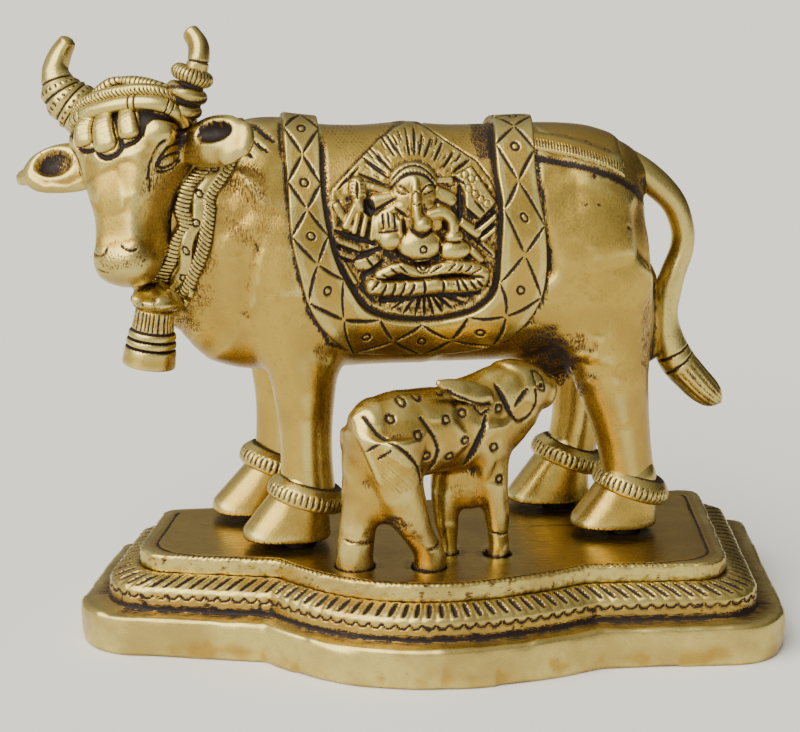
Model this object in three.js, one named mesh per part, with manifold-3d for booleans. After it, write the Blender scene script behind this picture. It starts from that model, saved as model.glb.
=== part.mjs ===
// Cow and suckling calf, a brass table statue on a stepped, bow-fronted base.
// Three castings: the base, the cow with everything she wears, and the calf.
// Millimetres, +Z up. The origin is on the underside of the base, behind the middle of its front bow.
// +X runs from the cow's head towards her tail, and -Y is the front of the statue.
import * as THREE from "three";
import { mergeVertices } from "three/addons/utils/BufferGeometryUtils.js";
import Module from "manifold-3d";

const wasm = await Module();
wasm.setup();

const DEG = Math.PI / 180;
const TURN = 2 * Math.PI;
const GAP = 0.3; // air between two castings

// The base: three steps, each inset from the one below. Its outline is askew, as cast.
const BASE_HALF_LENGTH = 99.4;
const BASE_BACK_MIDDLE = 58.6;
const BASE_BACK_SLOPE = 0.12;
const BASE_LEFT_SLOPE = 0.08;
const SHOULDER_LEFT = { at: -24, slope: 0.14 }; // the front edge beside the bow
const SHOULDER_RIGHT = { at: -28.6, slope: 0.07 };
const BOW_FRONT = -44;
const BOW_REACH = 46;
const BOW_POWER_LEFT = 2.4;
const BOW_POWER_RIGHT = 1.7;
const END_INSET = 1.3; // the steps draw in more at the ends than in front
const CORNER_RADIUS = 18;
const BACK_CORNER_RADIUS = 4;
const PLINTH_TOP = 11.5;
const CUSHION_SIDE_TOP = 17.2;
const CUSHION_INSET = 5.8;
const PLATE_BOTTOM = 20.5;
const PLATE_INSET = 12.6;
const BASE_HEIGHT = 25.5;
const PEG_RADIUS = 4.5; // stubs under the cow's hooves
const PEG_DEPTH = 2;
const FOOT_PLAY = 0.9;
const FOOT_DROP = -1.6; // the calf's feet stand in shallow drilled holes

// Where the cow and the calf stand on the base
const COW_PLACE = [0, 23];
const COW_YAW = 7.5;
const CALF_PLACE = [0, -9];
const CALF_YAW = 27;

// The cow, with z measured from the top of the base
const HOOF_LIFT = 1.6; // her hooves stand clear of the plate on their stubs
const BODY_HALF_WIDTH = 22;
const BODY_FULLNESS = 2.25; // 2 is an oval section
const LEG_SPREAD = 13.5;
const CLOTH_RAISE = 1.5;
const PANEL_RAISE = 0.7;

// Her head's own frame: x to her left, y the way she faces, z up the face
const HEAD_PLACE = [-82.5, -12, 107.5];
const HEAD_TURN = 57;
const HEAD_NOD = 20;
const HEAD_ROLL = 8.5;

const brass = new THREE.MeshStandardMaterial({ color: 0xb8964f, roughness: 0.38, metalness: 1 });

// Smooth value of a list of knots at t, from 0 at the first knot to 1 at the last
function smooth(values, t) {
  const last = values.length - 1;
  const at = Math.min(Math.max(t, 0), 1) * last;
  const i = Math.min(Math.floor(at), last - 1);
  const f = at - i;
  const [p0, p1, p2, p3] = [Math.max(i - 1, 0), i, i + 1, Math.min(i + 2, last)].map((k) => values[k]);
  const [m1, m2] = [(p2 - p0) / 2, (p3 - p1) / 2];
  const [f2, f3] = [f * f, f * f * f];
  return (2 * f3 - 3 * f2 + 1) * p1 + (f3 - 2 * f2 + f) * m1 + (3 * f2 - 2 * f3) * p2 + (f3 - f2) * m2;
}

// A solid from its vertices and triangles, turned face out
function solid(points, faces) {
  const vertProperties = new Float32Array(points.flat());
  const made = (order) => {
    const triVerts = new Uint32Array(faces.flatMap(([a, b, c]) => (order ? [a, b, c] : [a, c, b])));
    return new wasm.Manifold(new wasm.Mesh({ numProp: 3, vertProperties, triVerts }));
  };
  const first = made(true);
  return first.volume() > 0 ? first : made(false);
}

// A closed skin over rings that have the same number of points, with a fan over each end
function skin(rings) {
  const sides = rings[0].length;
  const points = rings.flat();
  const faces = [];
  for (let r = 0; r + 1 < rings.length; r++)
    for (let s = 0; s < sides; s++) {
      const a = r * sides + s;
      const b = r * sides + ((s + 1) % sides);
      faces.push([a, b, b + sides], [a, b + sides, a + sides]);
    }
  const middle = (ring) => [0, 1, 2].map((k) => ring.reduce((sum, p) => sum + p[k], 0) / sides);
  const start = points.push(middle(rings[0])) - 1;
  const end = points.push(middle(rings.at(-1))) - 1;
  const top = (rings.length - 1) * sides;
  for (let s = 0; s < sides; s++) {
    const next = (s + 1) % sides;
    faces.push([start, next, s], [end, top + s, top + next]);
  }
  return solid(points, faces);
}

// Unit direction number s of a section with this fullness
function spoke(s, sides, fullness) {
  const [c, d] = [Math.cos((s / sides) * TURN), Math.sin((s / sides) * TURN)];
  const reach = (Math.abs(c) ** fullness + Math.abs(d) ** fullness) ** (-1 / fullness);
  return [c * reach, d * reach];
}

// A limb: an oval section carried along a smooth path through the knots.
// wide is its half-width along side, and deep its half-width across that.
// With stops, the sections stand at those parts of the way, and wide and deep hold one size for each.
function limb({ path, wide, deep = wide, side = [0, 1, 0], rings = 6, sides = 8, fullness = 2, stops }) {
  const along = (t) => new THREE.Vector3(...[0, 1, 2].map((k) => smooth(path.map((p) => p[k]), t)));
  const across = new THREE.Vector3(...side);
  const places = stops ?? Array.from({ length: rings + 1 }, (_, r) => r / rings);
  return skin(
    places.map((t, r) => {
      const centre = along(t);
      const tangent = along(Math.min(t + 0.01, 1)).sub(along(Math.max(t - 0.01, 0))).normalize();
      const u = across.clone().addScaledVector(tangent, -across.dot(tangent)).normalize();
      const v = new THREE.Vector3().crossVectors(tangent, u);
      const [a, b] = [wide, deep].map((sizes) => (stops ? sizes[r] : smooth(sizes, t)));
      return Array.from({ length: sides }, (_, s) => {
        const [c, d] = spoke(s, sides, fullness);
        return centre.clone().addScaledVector(u, a * c).addScaledVector(v, b * d).toArray();
      });
    }),
  );
}

// A solid from a closed three.js geometry
function fromGeometry(geometry) {
  geometry.deleteAttribute("normal");
  geometry.deleteAttribute("uv");
  const merged = mergeVertices(geometry, 1e-4);
  const threes = (list) => Array.from({ length: list.length / 3 }, (_, i) => Array.from(list.slice(i * 3, i * 3 + 3)));
  return solid(threes(merged.attributes.position.array), threes(merged.index.array));
}

// The surface of a solid as a geometry
function surface(made) {
  const { numProp, numVert, vertProperties, triVerts } = made.getMesh();
  const flat = new Float32Array(numVert * 3);
  for (let i = 0; i < numVert; i++) flat.set(vertProperties.subarray(i * numProp, i * numProp + 3), i * 3);
  const geometry = new THREE.BufferGeometry();
  geometry.setAttribute("position", new THREE.BufferAttribute(flat, 3));
  geometry.setIndex(new THREE.BufferAttribute(triVerts, 1));
  return geometry;
}

const moved = (made, matrix) => fromGeometry(surface(made).applyMatrix4(matrix));
const FAR_SIDE = new THREE.Matrix4().makeScale(1, -1, 1);

// An egg-shaped lump with these half-axes
function lump(centre, halves, around = 7, levels = 4) {
  return fromGeometry(new THREE.SphereGeometry(1, around, levels).scale(...halves).translate(...centre));
}

// A turned piece: [radius, height] pairs from axis to axis, standing at place along up
function turned(profile, place, up, around = 14) {
  const turn = new THREE.Quaternion().setFromUnitVectors(
    new THREE.Vector3(0, 1, 0),
    new THREE.Vector3(...up).normalize(),
  );
  const made = new THREE.LatheGeometry(profile.map(([r, h]) => new THREE.Vector2(r, h)), around);
  return fromGeometry(made.applyQuaternion(turn).translate(...place));
}

const join = (solids) => solids.flat().reduce((all, one) => all.add(one));

// Her trunk in sections, head end first
const TRUNK = {
  x: [-72, -68, -58, -44, -28, -10, 10, 28, 42, 53, 59.5, 62.5],
  top: [88, 102, 115, 118.5, 117.6, 117, 117, 117, 114.8, 110, 101, 90],
  under: [66, 55.5, 50, 48.5, 49, 49.5, 49.5, 50, 52, 57, 66, 78],
  wide: [5, 12, 17, 20, 21, ...Array(3).fill(BODY_HALF_WIDTH), 21.5, 18.5, 12, 5],
};

// Her trunk's section at x: the middle of its height, and its half-height and half-width
function trunkAt(x) {
  const next = TRUNK.x.findIndex((k) => k > x);
  const i = next < 0 ? TRUNK.x.length - 2 : Math.max(next - 1, 0);
  const t = (i + (x - TRUNK.x[i]) / (TRUNK.x[i + 1] - TRUNK.x[i])) / (TRUNK.x.length - 1);
  const [top, under] = [smooth(TRUNK.top, t), smooth(TRUNK.under, t)];
  return { middle: (top + under) / 2, half: (top - under) / 2, wide: smooth(TRUNK.wide, t) };
}

function trunk(rings = 13, sides = 18) {
  const [from, to] = [TRUNK.x[0], TRUNK.x.at(-1)];
  const made = [];
  for (let r = 0; r <= rings; r++) {
    const x = from + ((to - from) * r) / rings;
    const { middle, half, wide } = trunkAt(x);
    const around = [];
    for (let s = 0; s < sides; s++) {
      const [c, d] = spoke(s, sides, BODY_FULLNESS);
      around.push([x, wide * c, middle + half * d]);
    }
    made.push(around);
  }
  return skin(made);
}

// The point on her near flank at x and z, lifted off it; above her back it is the point on her spine
function onFlank([x, z], lift = 0) {
  const { middle, half, wide } = trunkAt(x);
  const level = Math.min(Math.max((z - middle) / half, -1), 1);
  const out = Math.max(1 - Math.abs(level) ** BODY_FULLNESS, 0) ** (1 / BODY_FULLNESS);
  return [x, -(wide + lift) * out, middle + (half + lift) * level];
}

// A raised band on her flank between two edges of as many points each
function band(outer, inner, raise, sunk = 1.5) {
  return skin(
    outer.map((edge, i) => [
      onFlank(edge, -sunk), onFlank(edge, raise), onFlank(inner[i], raise), onFlank(inner[i], -sunk),
    ]),
  );
}

// A raised patch on her flank inside an edge
function patch(edge, raise, sunk = 1.5) {
  const centre = [0, 1].map((k) => edge.reduce((sum, p) => sum + p[k], 0) / edge.length);
  const drawn = (t) => edge.map((p) => [0, 1].map((k) => p[k] * t + centre[k] * (1 - t)));
  const layers = [[0.3, -sunk - 3], [1, -sunk - 3], [1, raise], [0.6, raise]];
  return skin(layers.map(([t, lift]) => drawn(t).map((p) => onFlank(p, lift))));
}

const LEG_SIDES = 10;
const pegX = ({ toe, heel }) => toe * 0.4 + heel * 0.6;

// A leg in sections down to its hoof and the stub below it.
// shank holds [x, z, half-width, half-depth]. The ring above the hoof leans back.
function leg({ y, shank, ankle, toe, heel, top, tall }) {
  const [nx, nz] = [Math.sin(ankle.lean * DEG), Math.cos(ankle.lean * DEG)];
  const oval = (x, z, wide, deep, lean = 0, fullness = 2) =>
    Array.from({ length: LEG_SIDES }, (_, s) => {
      const [c, d] = spoke(s, LEG_SIDES, fullness);
      return [x + deep * c * Math.cos(lean * DEG), y + wide * d, z - deep * c * Math.sin(lean * DEG)];
    });
  const ring = ([up, size]) => oval(ankle.x + nx * up, ankle.z + nz * up, size, size + 0.6, ankle.lean);
  const foot = ([k, inset, wide]) => {
    const front = toe + (top - toe) * k + inset;
    const back = heel - inset - k;
    return oval((front + back) / 2, HOOF_LIFT + (tall - HOOF_LIFT) * k, wide, (back - front) / 2, 0, 2.3);
  };
  const stub = (z) => oval(pegX({ toe, heel }), z, PEG_RADIUS, PEG_RADIUS);
  return skin([
    ...shank.map((one) => oval(...one)),
    ...[[2.6, 7.8], [2, 10], [-2, 10.4], [-2.6, 8.6]].map(ring),
    ...[[0.75, 0, 8.6], [0.3, 0, 9.6], [0.08, 0, 9.8], [0, 0.8, 9]].map(foot),
    stub(HOOF_LIFT),
    stub(-PEG_DEPTH),
  ]);
}

// Her legs: the near and far forelegs, then the near and far hind ones
const LEGS = [
  {
    y: -LEG_SPREAD, toe: -55.3, heel: -30, top: -47, tall: 14, ankle: { x: -37.3, z: 14.8, lean: 16 },
    shank: [
      [-40, 98, 2, 3], [-39, 84, 7, 10], [-38, 66, 9, 12], [-38, 50, 8.3, 9.6], [-37.4, 34, 7, 7.7],
      [-36.9, 22, 7.2, 7.8],
    ],
  },
  {
    y: LEG_SPREAD, toe: -62.5, heel: -37, top: -52, tall: 15.4, ankle: { x: -43.6, z: 16.8, lean: 18 },
    shank: [
      [-40, 98, 2, 3], [-40, 84, 7, 10], [-40.5, 66, 9, 12], [-42, 50, 8.3, 9.6], [-42.3, 36, 7, 7.6],
      [-42.6, 24, 7.2, 7.6],
    ],
  },
  {
    y: -LEG_SPREAD, toe: 39.8, heel: 65, top: 48, tall: 14.4, ankle: { x: 56.8, z: 14, lean: 19 },
    shank: [
      [44, 108, 2, 3], [44.4, 96, 7, 11], [45, 78, 9, 15.6], [46.4, 60, 9.5, 14.2], [50, 45, 9, 11],
      [55.4, 24, 7.7, 7.7],
    ],
  },
  {
    y: LEG_SPREAD, toe: 26, heel: 51, top: 35, tall: 15.4, ankle: { x: 43.8, z: 15.6, lean: 20 },
    shank: [
      [44, 108, 2, 3], [44.4, 96, 7, 11], [45, 78, 9, 15.6], [46, 60, 9.5, 14.2], [48.6, 44, 9, 10.6],
      [46.4, 25, 7.7, 7.8],
    ],
  },
];

// From her head's frame to hers
function headMatrix() {
  const facing = new THREE.Vector3(-Math.cos(HEAD_TURN * DEG), -Math.sin(HEAD_TURN * DEG), 0);
  const up = new THREE.Vector3(0, 0, 1);
  const left = new THREE.Vector3().crossVectors(up, facing);
  const tilted = up.applyAxisAngle(facing, HEAD_ROLL * DEG);
  left.applyAxisAngle(facing, HEAD_ROLL * DEG);
  const rise = tilted.clone().applyAxisAngle(left, HEAD_NOD * -DEG);
  const front = facing.clone().applyAxisAngle(left, HEAD_NOD * -DEG);
  return new THREE.Matrix4().makeBasis(left, front, rise).setPosition(...HEAD_PLACE);
}

// The skull in sections, from the poll down to the chin
const SKULL = {
  z: [21, 17, 9, 1, -7, -14, -20, -26, -30, -33],
  front: [8, 12.5, 14.5, 13.5, 11.6, 10, 8.8, 8.4, 6, 3],
  back: [-8, -11, -12, -11.5, -9.5, -7.5, -6, -5, -4, -2.5],
  wide: [10, 15.5, 15.5, 13.2, 10.6, 8.7, 7.9, 8.3, 7, 4],
};

function skull() {
  const path = SKULL.z.map((z, i) => [0, (SKULL.front[i] + SKULL.back[i]) / 2, z]);
  const deep = SKULL.z.map((z, i) => (SKULL.front[i] - SKULL.back[i]) / 2);
  return limb({ path, wide: SKULL.wide, deep, side: [1, 0, 0], rings: 11, sides: 10, fullness: 2.7 });
}

// A horn with the two wrapped rings round its root
function horn(s) {
  const path = [[13, 2, 14], [17, 4, 18], [21, 6.5, 22], [23, 8, 28], [21.8, 8, 33], [18.4, 8.5, 37.5]];
  return limb({
    path: path.map(([x, y, z]) => [s * x, y, z]),
    stops: [0, 0.17, 0.2, 0.29, 0.33, 0.38, 0.41, 0.49, 0.53, 0.66, 0.84, 1],
    wide: [6, 5.6, 6.9, 6.6, 4.6, 4.4, 5.6, 5.4, 3.4, 2.9, 2.5, 1.6],
  });
}

// An ear: a thick leaf, dished on the side she hears with
function ear(s) {
  const path = [[12, -1, 6], [18, 0.5, 6], [25, 3, 4.5], [32, 4, 3.5], [37.6, 4, 3.3]];
  const leaf = limb({
    path: path.map(([x, y, z]) => [s * x, y, z]),
    wide: [3, 5.2, 6.6, 5.8, 2],
    deep: [2.6, 3, 3, 2.6, 1.2],
    side: [0, 0, 1],
    rings: 7,
  });
  return leaf.subtract(lump([s * 24, 8, 4.8], [6.5, 4.6, 4]));
}

// The headband's two rolls over the brow, the loop above them and the three locks below
const BROW_ARC = [[-1, -0.35], [-0.8, 0.55], [0, 1], [0.8, 0.55], [1, -0.35]];
const BROW_MIDDLE = 2;
const BROW_BULGE = 12.4;
const BROW_SAG = 2.4;
function headdress() {
  const roll = (lift, thick, reach) =>
    limb({
      path: BROW_ARC.map(([a, b]) => [reach * a, BROW_MIDDLE + BROW_BULGE * b, lift - BROW_SAG * (1 - b)]),
      wide: [thick, thick], side: [0, 0, 1], rings: 6, sides: 5,
    });
  const lock = (x, low) =>
    limb({
      path: [[x, 12, 13.4], [x, 14.4, 9], [x, 14.2, low]],
      wide: [2.2, 2.6, 2], deep: [1.4, 2, 1.6], side: [1, 0, 0], rings: 2, sides: 6,
    });
  const loop = limb({ path: [[-6.5, 10, 19], [0, 10, 25.4], [8, 9, 20]], wide: [1.5, 1.5], rings: 2, sides: 5 });
  return [roll(18.6, 2, 16.6), roll(14.6, 1.9, 15.6), lock(-5.6, 4.5), lock(0, 2), lock(5.4, 4), loop];
}

function neck() {
  return limb({
    path: [[-40, 0, 84], [-54, -1, 87], [-64, -4, 90], [-71, -7.5, 94], [-76, -10, 99], [-80, -11.5, 104]],
    wide: [19, 17.5, 15.5, 13.5, 12, 9],
    deep: [33, 31.5, 28.5, 25, 19, 12],
    rings: 7,
    sides: 14,
  });
}

// The garland's three strands down the side of her neck, its tie and the bell cast against it
function garland() {
  const path = [
    [-66.6, -12, 112], [-66, -15.6, 105], [-69.4, -17.4, 97], [-73.6, -18.2, 87.5], [-76.5, -18, 79],
    [-78, -16.4, 72],
  ];
  const fan = [1, 1, 1, 0.85, 0.55, 0.2];
  const strand = (shift, thick) => {
    const shifted = path.map(([x, y, z], i) => [x + shift * fan[i], y, z]);
    return limb({ path: shifted, wide: [thick, thick], rings: 5, sides: 4 });
  };
  const profile = [
    [0, 0], [7, 0.4], [7.1, 5], [6.1, 5.6], [6.7, 7.4], [5.8, 9.2], [6.2, 11.2], [5, 16], [6.3, 18.6], [0, 22],
  ];
  const bell = turned(profile, [-81.2, -17.5, 54.6], [0.14, -0.02, 1], 10);
  return [strand(0, 3.6), strand(3.8, 3.2), strand(7.6, 3.6), bell];
}

// The saddle cloth's border: its outer and inner edges in x and z, over her spine in front and behind
const CLOTH_EDGE = [
  [-44, 126], [-44, 114], [-42.6, 103], [-42, 91], [-40.2, 81], [-37, 69.7], [-31.3, 60], [-24, 56.2],
  [-11.7, 55.2], [5.2, 55], [17.6, 58], [24, 63.4], [28.2, 71], [29.5, 80.3], [28.8, 92], [27.1, 103.6],
  [26.5, 113], [26.6, 126],
];
const PANEL_EDGE = [
  [-33.8, 126], [-33.3, 114], [-32.7, 102.4], [-31.3, 91], [-29.4, 83.5], [-26.4, 77.2], [-21.5, 70], [-16, 67],
  [-9, 65.7], [0, 65.8], [8.4, 67.8], [13.2, 71.4], [15.2, 76], [15.9, 85.4], [16.4, 97], [14.8, 106],
  [14.2, 114], [14.1, 126],
];
const HALO_EDGE = [
  [-8.9, 116], [4, 113.5], [14.6, 105], [14, 94], [12, 80], [6.5, 70.5], [-4.8, 67.4], [-16.5, 70.5], [-25, 82],
  [-29, 102.6], [-19, 113],
];

function cloth() {
  const near = [band(CLOTH_EDGE, PANEL_EDGE, CLOTH_RAISE), patch(HALO_EDGE, PANEL_RAISE)];
  return [near, near.map((one) => moved(one, FAR_SIDE))];
}

// The seated elephant-headed figure, whole on her near flank and its main masses on the far one
const FIGURE_MAIN = [0, 1, 3, 4, 10];
function figure() {
  const bump = (x, z, [a, b, c], lift) => lump(onFlank([x, z], lift), [a, c, b], 6, 4);
  const arm = (knots, wide, deep = wide) => {
    const path = knots.map(([x, z, lift]) => onFlank([x, z], lift));
    return limb({ path, wide, deep, side: [1, 0, 0], rings: 2, sides: 5 });
  };
  const near = [
    bump(-7.7, 104, [7, 5, 3.4], 1),
    bump(-7.7, 109.4, [4.4, 3.6, 3], 1),
    arm([[-7.7, 101.5, 4], [-8, 96.5, 4.2], [-6.2, 92.4, 4]], [2, 1.7, 1.7]),
    bump(-6.5, 93.8, [7.6, 4.4, 3], 0.8),
    bump(-6.3, 87.4, [6, 5.2, 3.8], 1),
    bump(-14.8, 91.8, [3.6, 4, 2.4], 1.4),
    arm([[-12, 97, 1], [-19.4, 93.6, 1.4], [-22.8, 102, 1.4]], [1.6, 1.6, 2.2]),
    arm([[-2.4, 96, 1.4], [2.6, 92, 2], [2.6, 86.4, 2.2]], [1.9, 1.9, 2]),
    arm([[-1.6, 96.6, 1], [5.4, 95.2, 1.4], [8.6, 101.4, 1.2]], [1.6, 1.6, 3.6], [1.7, 1.7, 1.2]),
    arm([[-19, 80.8, 1], [-8, 81.4, 3], [12, 78.4, 1]], [1.4, 2.2, 1.2], [1.6, 2.4, 1.4]),
    arm([[-21, 77, 1], [-6, 75.8, 3.2], [12.4, 74.8, 1]], [1.4, 2.3, 1.2], [1.6, 2.6, 1.4]),
  ];
  return [near, FIGURE_MAIN.map((i) => moved(near[i], FAR_SIDE))];
}

// The strap from the cloth along the rump to the root of the tail
function strap() {
  const top = [[26, 126], [36, 126], [46, 126], [54, 126], [60, 126]];
  const low = [[26, 111.6], [34.5, 110], [44, 106.6], [51, 103], [57, 98.6]];
  const near = band(top, low, 1.2);
  return [near, moved(near, FAR_SIDE)];
}

function tail() {
  return limb({
    path: [
      [48, 0, 108.5], [58, 0, 105], [66, 0, 98.5], [71.5, 0, 90], [72.8, 0, 81], [70.6, 0, 72], [69.3, 0, 62],
      [70, 0, 52.5], [74.5, 0, 45], [81, 0, 39], [88, 0, 33.5],
    ],
    wide: [5, 4.6, 4, 3.8, 3.8, 4, 4, 4.2, 4.8, 5, 1.8],
    deep: [3.6, 3.6, 3.6, 3.6, 3.9, 4.2, 4.4, 4.8, 5, 4.6, 1.6],
    rings: 17,
    sides: 7,
  });
}

function udder() {
  const places = [[29, -5], [29, 5], [37, -5], [37, 5]];
  const teats = places.map(([x, y]) => lump([x, y, 44.6], [1.9, 1.9, 3.4], 5, 3));
  return [lump([33, 0, 51], [10, 12, 7], 9, 5), teats];
}

function cow() {
  const head = join([skull(), horn(1), horn(-1), ear(1), ear(-1), headdress()].flat(3));
  const turnedHead = moved(head, headMatrix());
  const body = [trunk(), neck(), LEGS.map(leg), tail(), udder()];
  const worn = [garland(), cloth(), figure(), strap()];
  return join([turnedHead, body, worn].flat(3));
}

// The base's outline drawn in by inset, as points around it
const FRONT_STEPS = 30;
function outline(inset) {
  const ends = BASE_HALF_LENGTH - inset * END_INSET;
  const corner = CORNER_RADIUS - inset * 0.6;
  const back = (x) => BASE_BACK_MIDDLE + BASE_BACK_SLOPE * x - inset;
  const front = (x) => {
    const [side, power] = x < 0 ? [SHOULDER_LEFT, BOW_POWER_LEFT] : [SHOULDER_RIGHT, BOW_POWER_RIGHT];
    const reach = BOW_REACH - inset * 0.25;
    const t = Math.min(Math.abs(x) / reach, 1);
    const beyond = Math.max(Math.abs(x) - reach, 0);
    const edge = BOW_FRONT + (side.at - BOW_FRONT) * t ** power;
    return edge + side.slope * beyond + inset;
  };
  const points = [];
  const arc = (x, y, radius, from, to, steps) => {
    for (let i = 0; i <= steps; i++) {
      const a = (from + ((to - from) * i) / steps) * DEG;
      points.push([x + radius * Math.cos(a), y + radius * Math.sin(a)]);
    }
  };
  const left = -ends + corner;
  const right = ends - corner;
  arc(left, front(left) + corner, corner, 180, 262, 4);
  for (let i = 0; i <= FRONT_STEPS; i++) {
    const x = left + ((right - left) * i) / FRONT_STEPS;
    points.push([x, front(x)]);
  }
  arc(right, front(right) + corner, corner, 278, 360, 4);
  const small = BACK_CORNER_RADIUS;
  arc(ends - small, back(ends) - small, small, 0, 90, 3);
  const drawn = -ends + BASE_LEFT_SLOPE * (back(-ends) - front(left));
  arc(drawn + small, back(drawn) - small, small, 90, 180, 3);
  return points;
}

function base() {
  const levels = [
    [0.5, 0], [0, 0.6], [0, PLINTH_TOP - 0.8], [0.8, PLINTH_TOP],
    [CUSHION_INSET, PLINTH_TOP], [CUSHION_INSET, CUSHION_SIDE_TOP],
    [CUSHION_INSET + 1.4, CUSHION_SIDE_TOP + 1.8],
    [PLATE_INSET, PLATE_BOTTOM], [PLATE_INSET, BASE_HEIGHT - 0.6], [PLATE_INSET + 0.6, BASE_HEIGHT],
  ];
  const steps = skin(levels.map(([inset, z]) => outline(inset).map(([x, y]) => [x, y, z])));
  const hole = ([x, y], radius, depth) => {
    const profile = [[0, 0], [radius, 0], [radius, depth + 1], [0, depth + 1]];
    return turned(profile, [x, y, BASE_HEIGHT - depth], [0, 0, 1], 12);
  };
  const stubHoles = LEGS.map((one) =>
    hole(onBase(COW_PLACE, COW_YAW, [pegX(one), one.y]), PEG_RADIUS + 0.5, PEG_DEPTH + GAP),
  );
  const footHoles = CALF_FEET.map(([x, y, radius]) =>
    hole(onBase(CALF_PLACE, CALF_YAW, [x, y]), radius + FOOT_PLAY, GAP - FOOT_DROP),
  );
  return [...stubHoles, ...footHoles].reduce((made, one) => made.subtract(one), steps);
}

// A point of a standing casting's own frame, as a point on the base
function onBase([x0, y0], yaw, [x, y]) {
  const [c, s] = [Math.cos(yaw * DEG), Math.sin(yaw * DEG)];
  return [x0 + x * c - y * s, y0 + x * s + y * c];
}

// Where the calf's feet stand, in its own frame, with their radii
const CALF_FEET = [[-4, -6, 4.5], [-22, 3.8, 5.2], [18.5, -4.7, 3], [9, 2.6, 2.8]];

// The calf: x the way it walks, z from the top of the base
function calf() {
  const body = limb({
    path: [[-25.4, 0, 40], [-21.5, 0, 39], [-9, 0, 38.4], [0, 0, 38.4], [9, 0, 39], [16, 0, 41], [20, 0, 42]],
    wide: [4, 8, 9.6, 9.6, 9.2, 7.6, 4],
    deep: [5, 10.6, 11.6, 11.4, 11.4, 11, 7],
    rings: 8,
    sides: 12,
    fullness: 2.2,
  });
  const shank = (foot, hip, knots, wide) => {
    const [x, y, radius] = CALF_FEET[foot];
    const path = knots.map(([px, pz], i) => [px, hip + ((y - hip) * i) / 3, pz]);
    path.push([x, y, 4], [x, y, FOOT_DROP]);
    return limb({ path, wide: [...wide, radius, radius], rings: 5, sides: 7 });
  };
  const stance = [
    shank(0, -3.6, [[-15.5, 38], [-12.6, 24], [-7.4, 12]], [7.6, 6.6, 4.8]),
    shank(1, 3.4, [[-18, 38], [-19.6, 24], [-21, 12]], [7.2, 6, 5]),
    shank(2, -3.4, [[14.6, 40], [16.6, 24], [18, 12]], [6.6, 4.8, 3.6]),
    shank(3, 3.2, [[12, 40], [12.4, 24], [11, 12]], [6.4, 4.8, 3.4]),
  ];
  const neckAndHead = limb({
    path: [[8, 0, 41], [15, -0.6, 42.4], [20, -1, 44.6], [26, -1.6, 45.6], [31.4, -2.2, 45.6], [36, -2.6, 45.4]],
    wide: [8.6, 7.6, 6.6, 6, 4.8, 3.4],
    deep: [9.6, 10, 9.8, 8.8, 6.8, 4.2],
    rings: 9,
    sides: 10,
    fullness: 2.2,
  });
  const ears = [-1, 1].map((s) =>
    limb({
      path: [[17, s * 4.6, 50], [7.6, s * 7.4, 50.4], [-1.4, s * 6.6, 51]],
      wide: [1.6, 2.9, 1], deep: [1.4, 1.4, 1], rings: 3, sides: 6, side: [0, 0.6, 0.8],
    }),
  );
  const brush = limb({
    path: [[-24, -1, 47.4], [-21, -6.4, 43], [-15.4, -9.6, 36], [-10.4, -10.6, 29], [-10.6, -9.6, 23.6]],
    wide: [2.2, 2, 2.6, 3, 1.2], deep: [1.8, 1.6, 1.6, 1.6, 1], side: [1, 0, 0.4], rings: 5, sides: 5,
  });
  return join([body, stance, neckAndHead, ears, brush].flat(2));
}

function mesh(name, made) {
  const node = new THREE.Mesh(surface(made), brass);
  node.name = name;
  return node;
}

function standing(node, [x, y], yaw) {
  const group = new THREE.Group();
  group.position.set(x, y, BASE_HEIGHT);
  group.rotation.z = yaw * DEG;
  return group.add(node);
}

const statue = new THREE.Group();
statue.add(mesh("base", base()));
statue.add(standing(mesh("cow", cow()), COW_PLACE, COW_YAW));
statue.add(standing(mesh("calf", calf()), CALF_PLACE, CALF_YAW));

export default statue;
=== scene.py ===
"""A brass cow and her suckling calf on a stepped base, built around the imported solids.

Every shape is worked out with numpy, in millimetres, and put into its mesh in metres.
The base has the row's frame. The cow and the calf have frames of their own, with x the way
along the body and z from the top of the base, and the cow's head has one within hers.
"""

import functools
import math

import bpy
import numpy as np
from bpy.props import FloatProperty, FloatVectorProperty, StringProperty
from mathutils import Matrix, Vector


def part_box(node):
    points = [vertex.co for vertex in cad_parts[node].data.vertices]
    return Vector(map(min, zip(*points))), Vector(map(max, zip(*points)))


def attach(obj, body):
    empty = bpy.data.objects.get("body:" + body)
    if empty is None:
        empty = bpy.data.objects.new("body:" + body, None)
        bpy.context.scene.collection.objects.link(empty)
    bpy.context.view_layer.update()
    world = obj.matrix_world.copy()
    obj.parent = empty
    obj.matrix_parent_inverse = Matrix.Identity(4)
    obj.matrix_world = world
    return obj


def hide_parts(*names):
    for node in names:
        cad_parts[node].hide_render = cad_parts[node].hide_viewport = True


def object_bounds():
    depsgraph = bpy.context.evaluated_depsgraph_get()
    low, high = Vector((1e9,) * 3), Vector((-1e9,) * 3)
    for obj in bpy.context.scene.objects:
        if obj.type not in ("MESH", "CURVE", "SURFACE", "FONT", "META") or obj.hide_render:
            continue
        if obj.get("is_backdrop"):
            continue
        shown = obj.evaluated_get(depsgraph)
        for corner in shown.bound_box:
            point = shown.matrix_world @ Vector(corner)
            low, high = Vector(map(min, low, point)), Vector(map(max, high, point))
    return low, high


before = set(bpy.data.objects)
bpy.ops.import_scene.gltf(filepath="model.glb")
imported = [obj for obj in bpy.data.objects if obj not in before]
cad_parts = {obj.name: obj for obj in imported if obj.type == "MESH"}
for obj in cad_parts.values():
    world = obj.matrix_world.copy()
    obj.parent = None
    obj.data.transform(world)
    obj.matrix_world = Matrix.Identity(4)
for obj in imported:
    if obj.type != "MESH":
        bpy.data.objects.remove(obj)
CAD_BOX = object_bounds()

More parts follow.
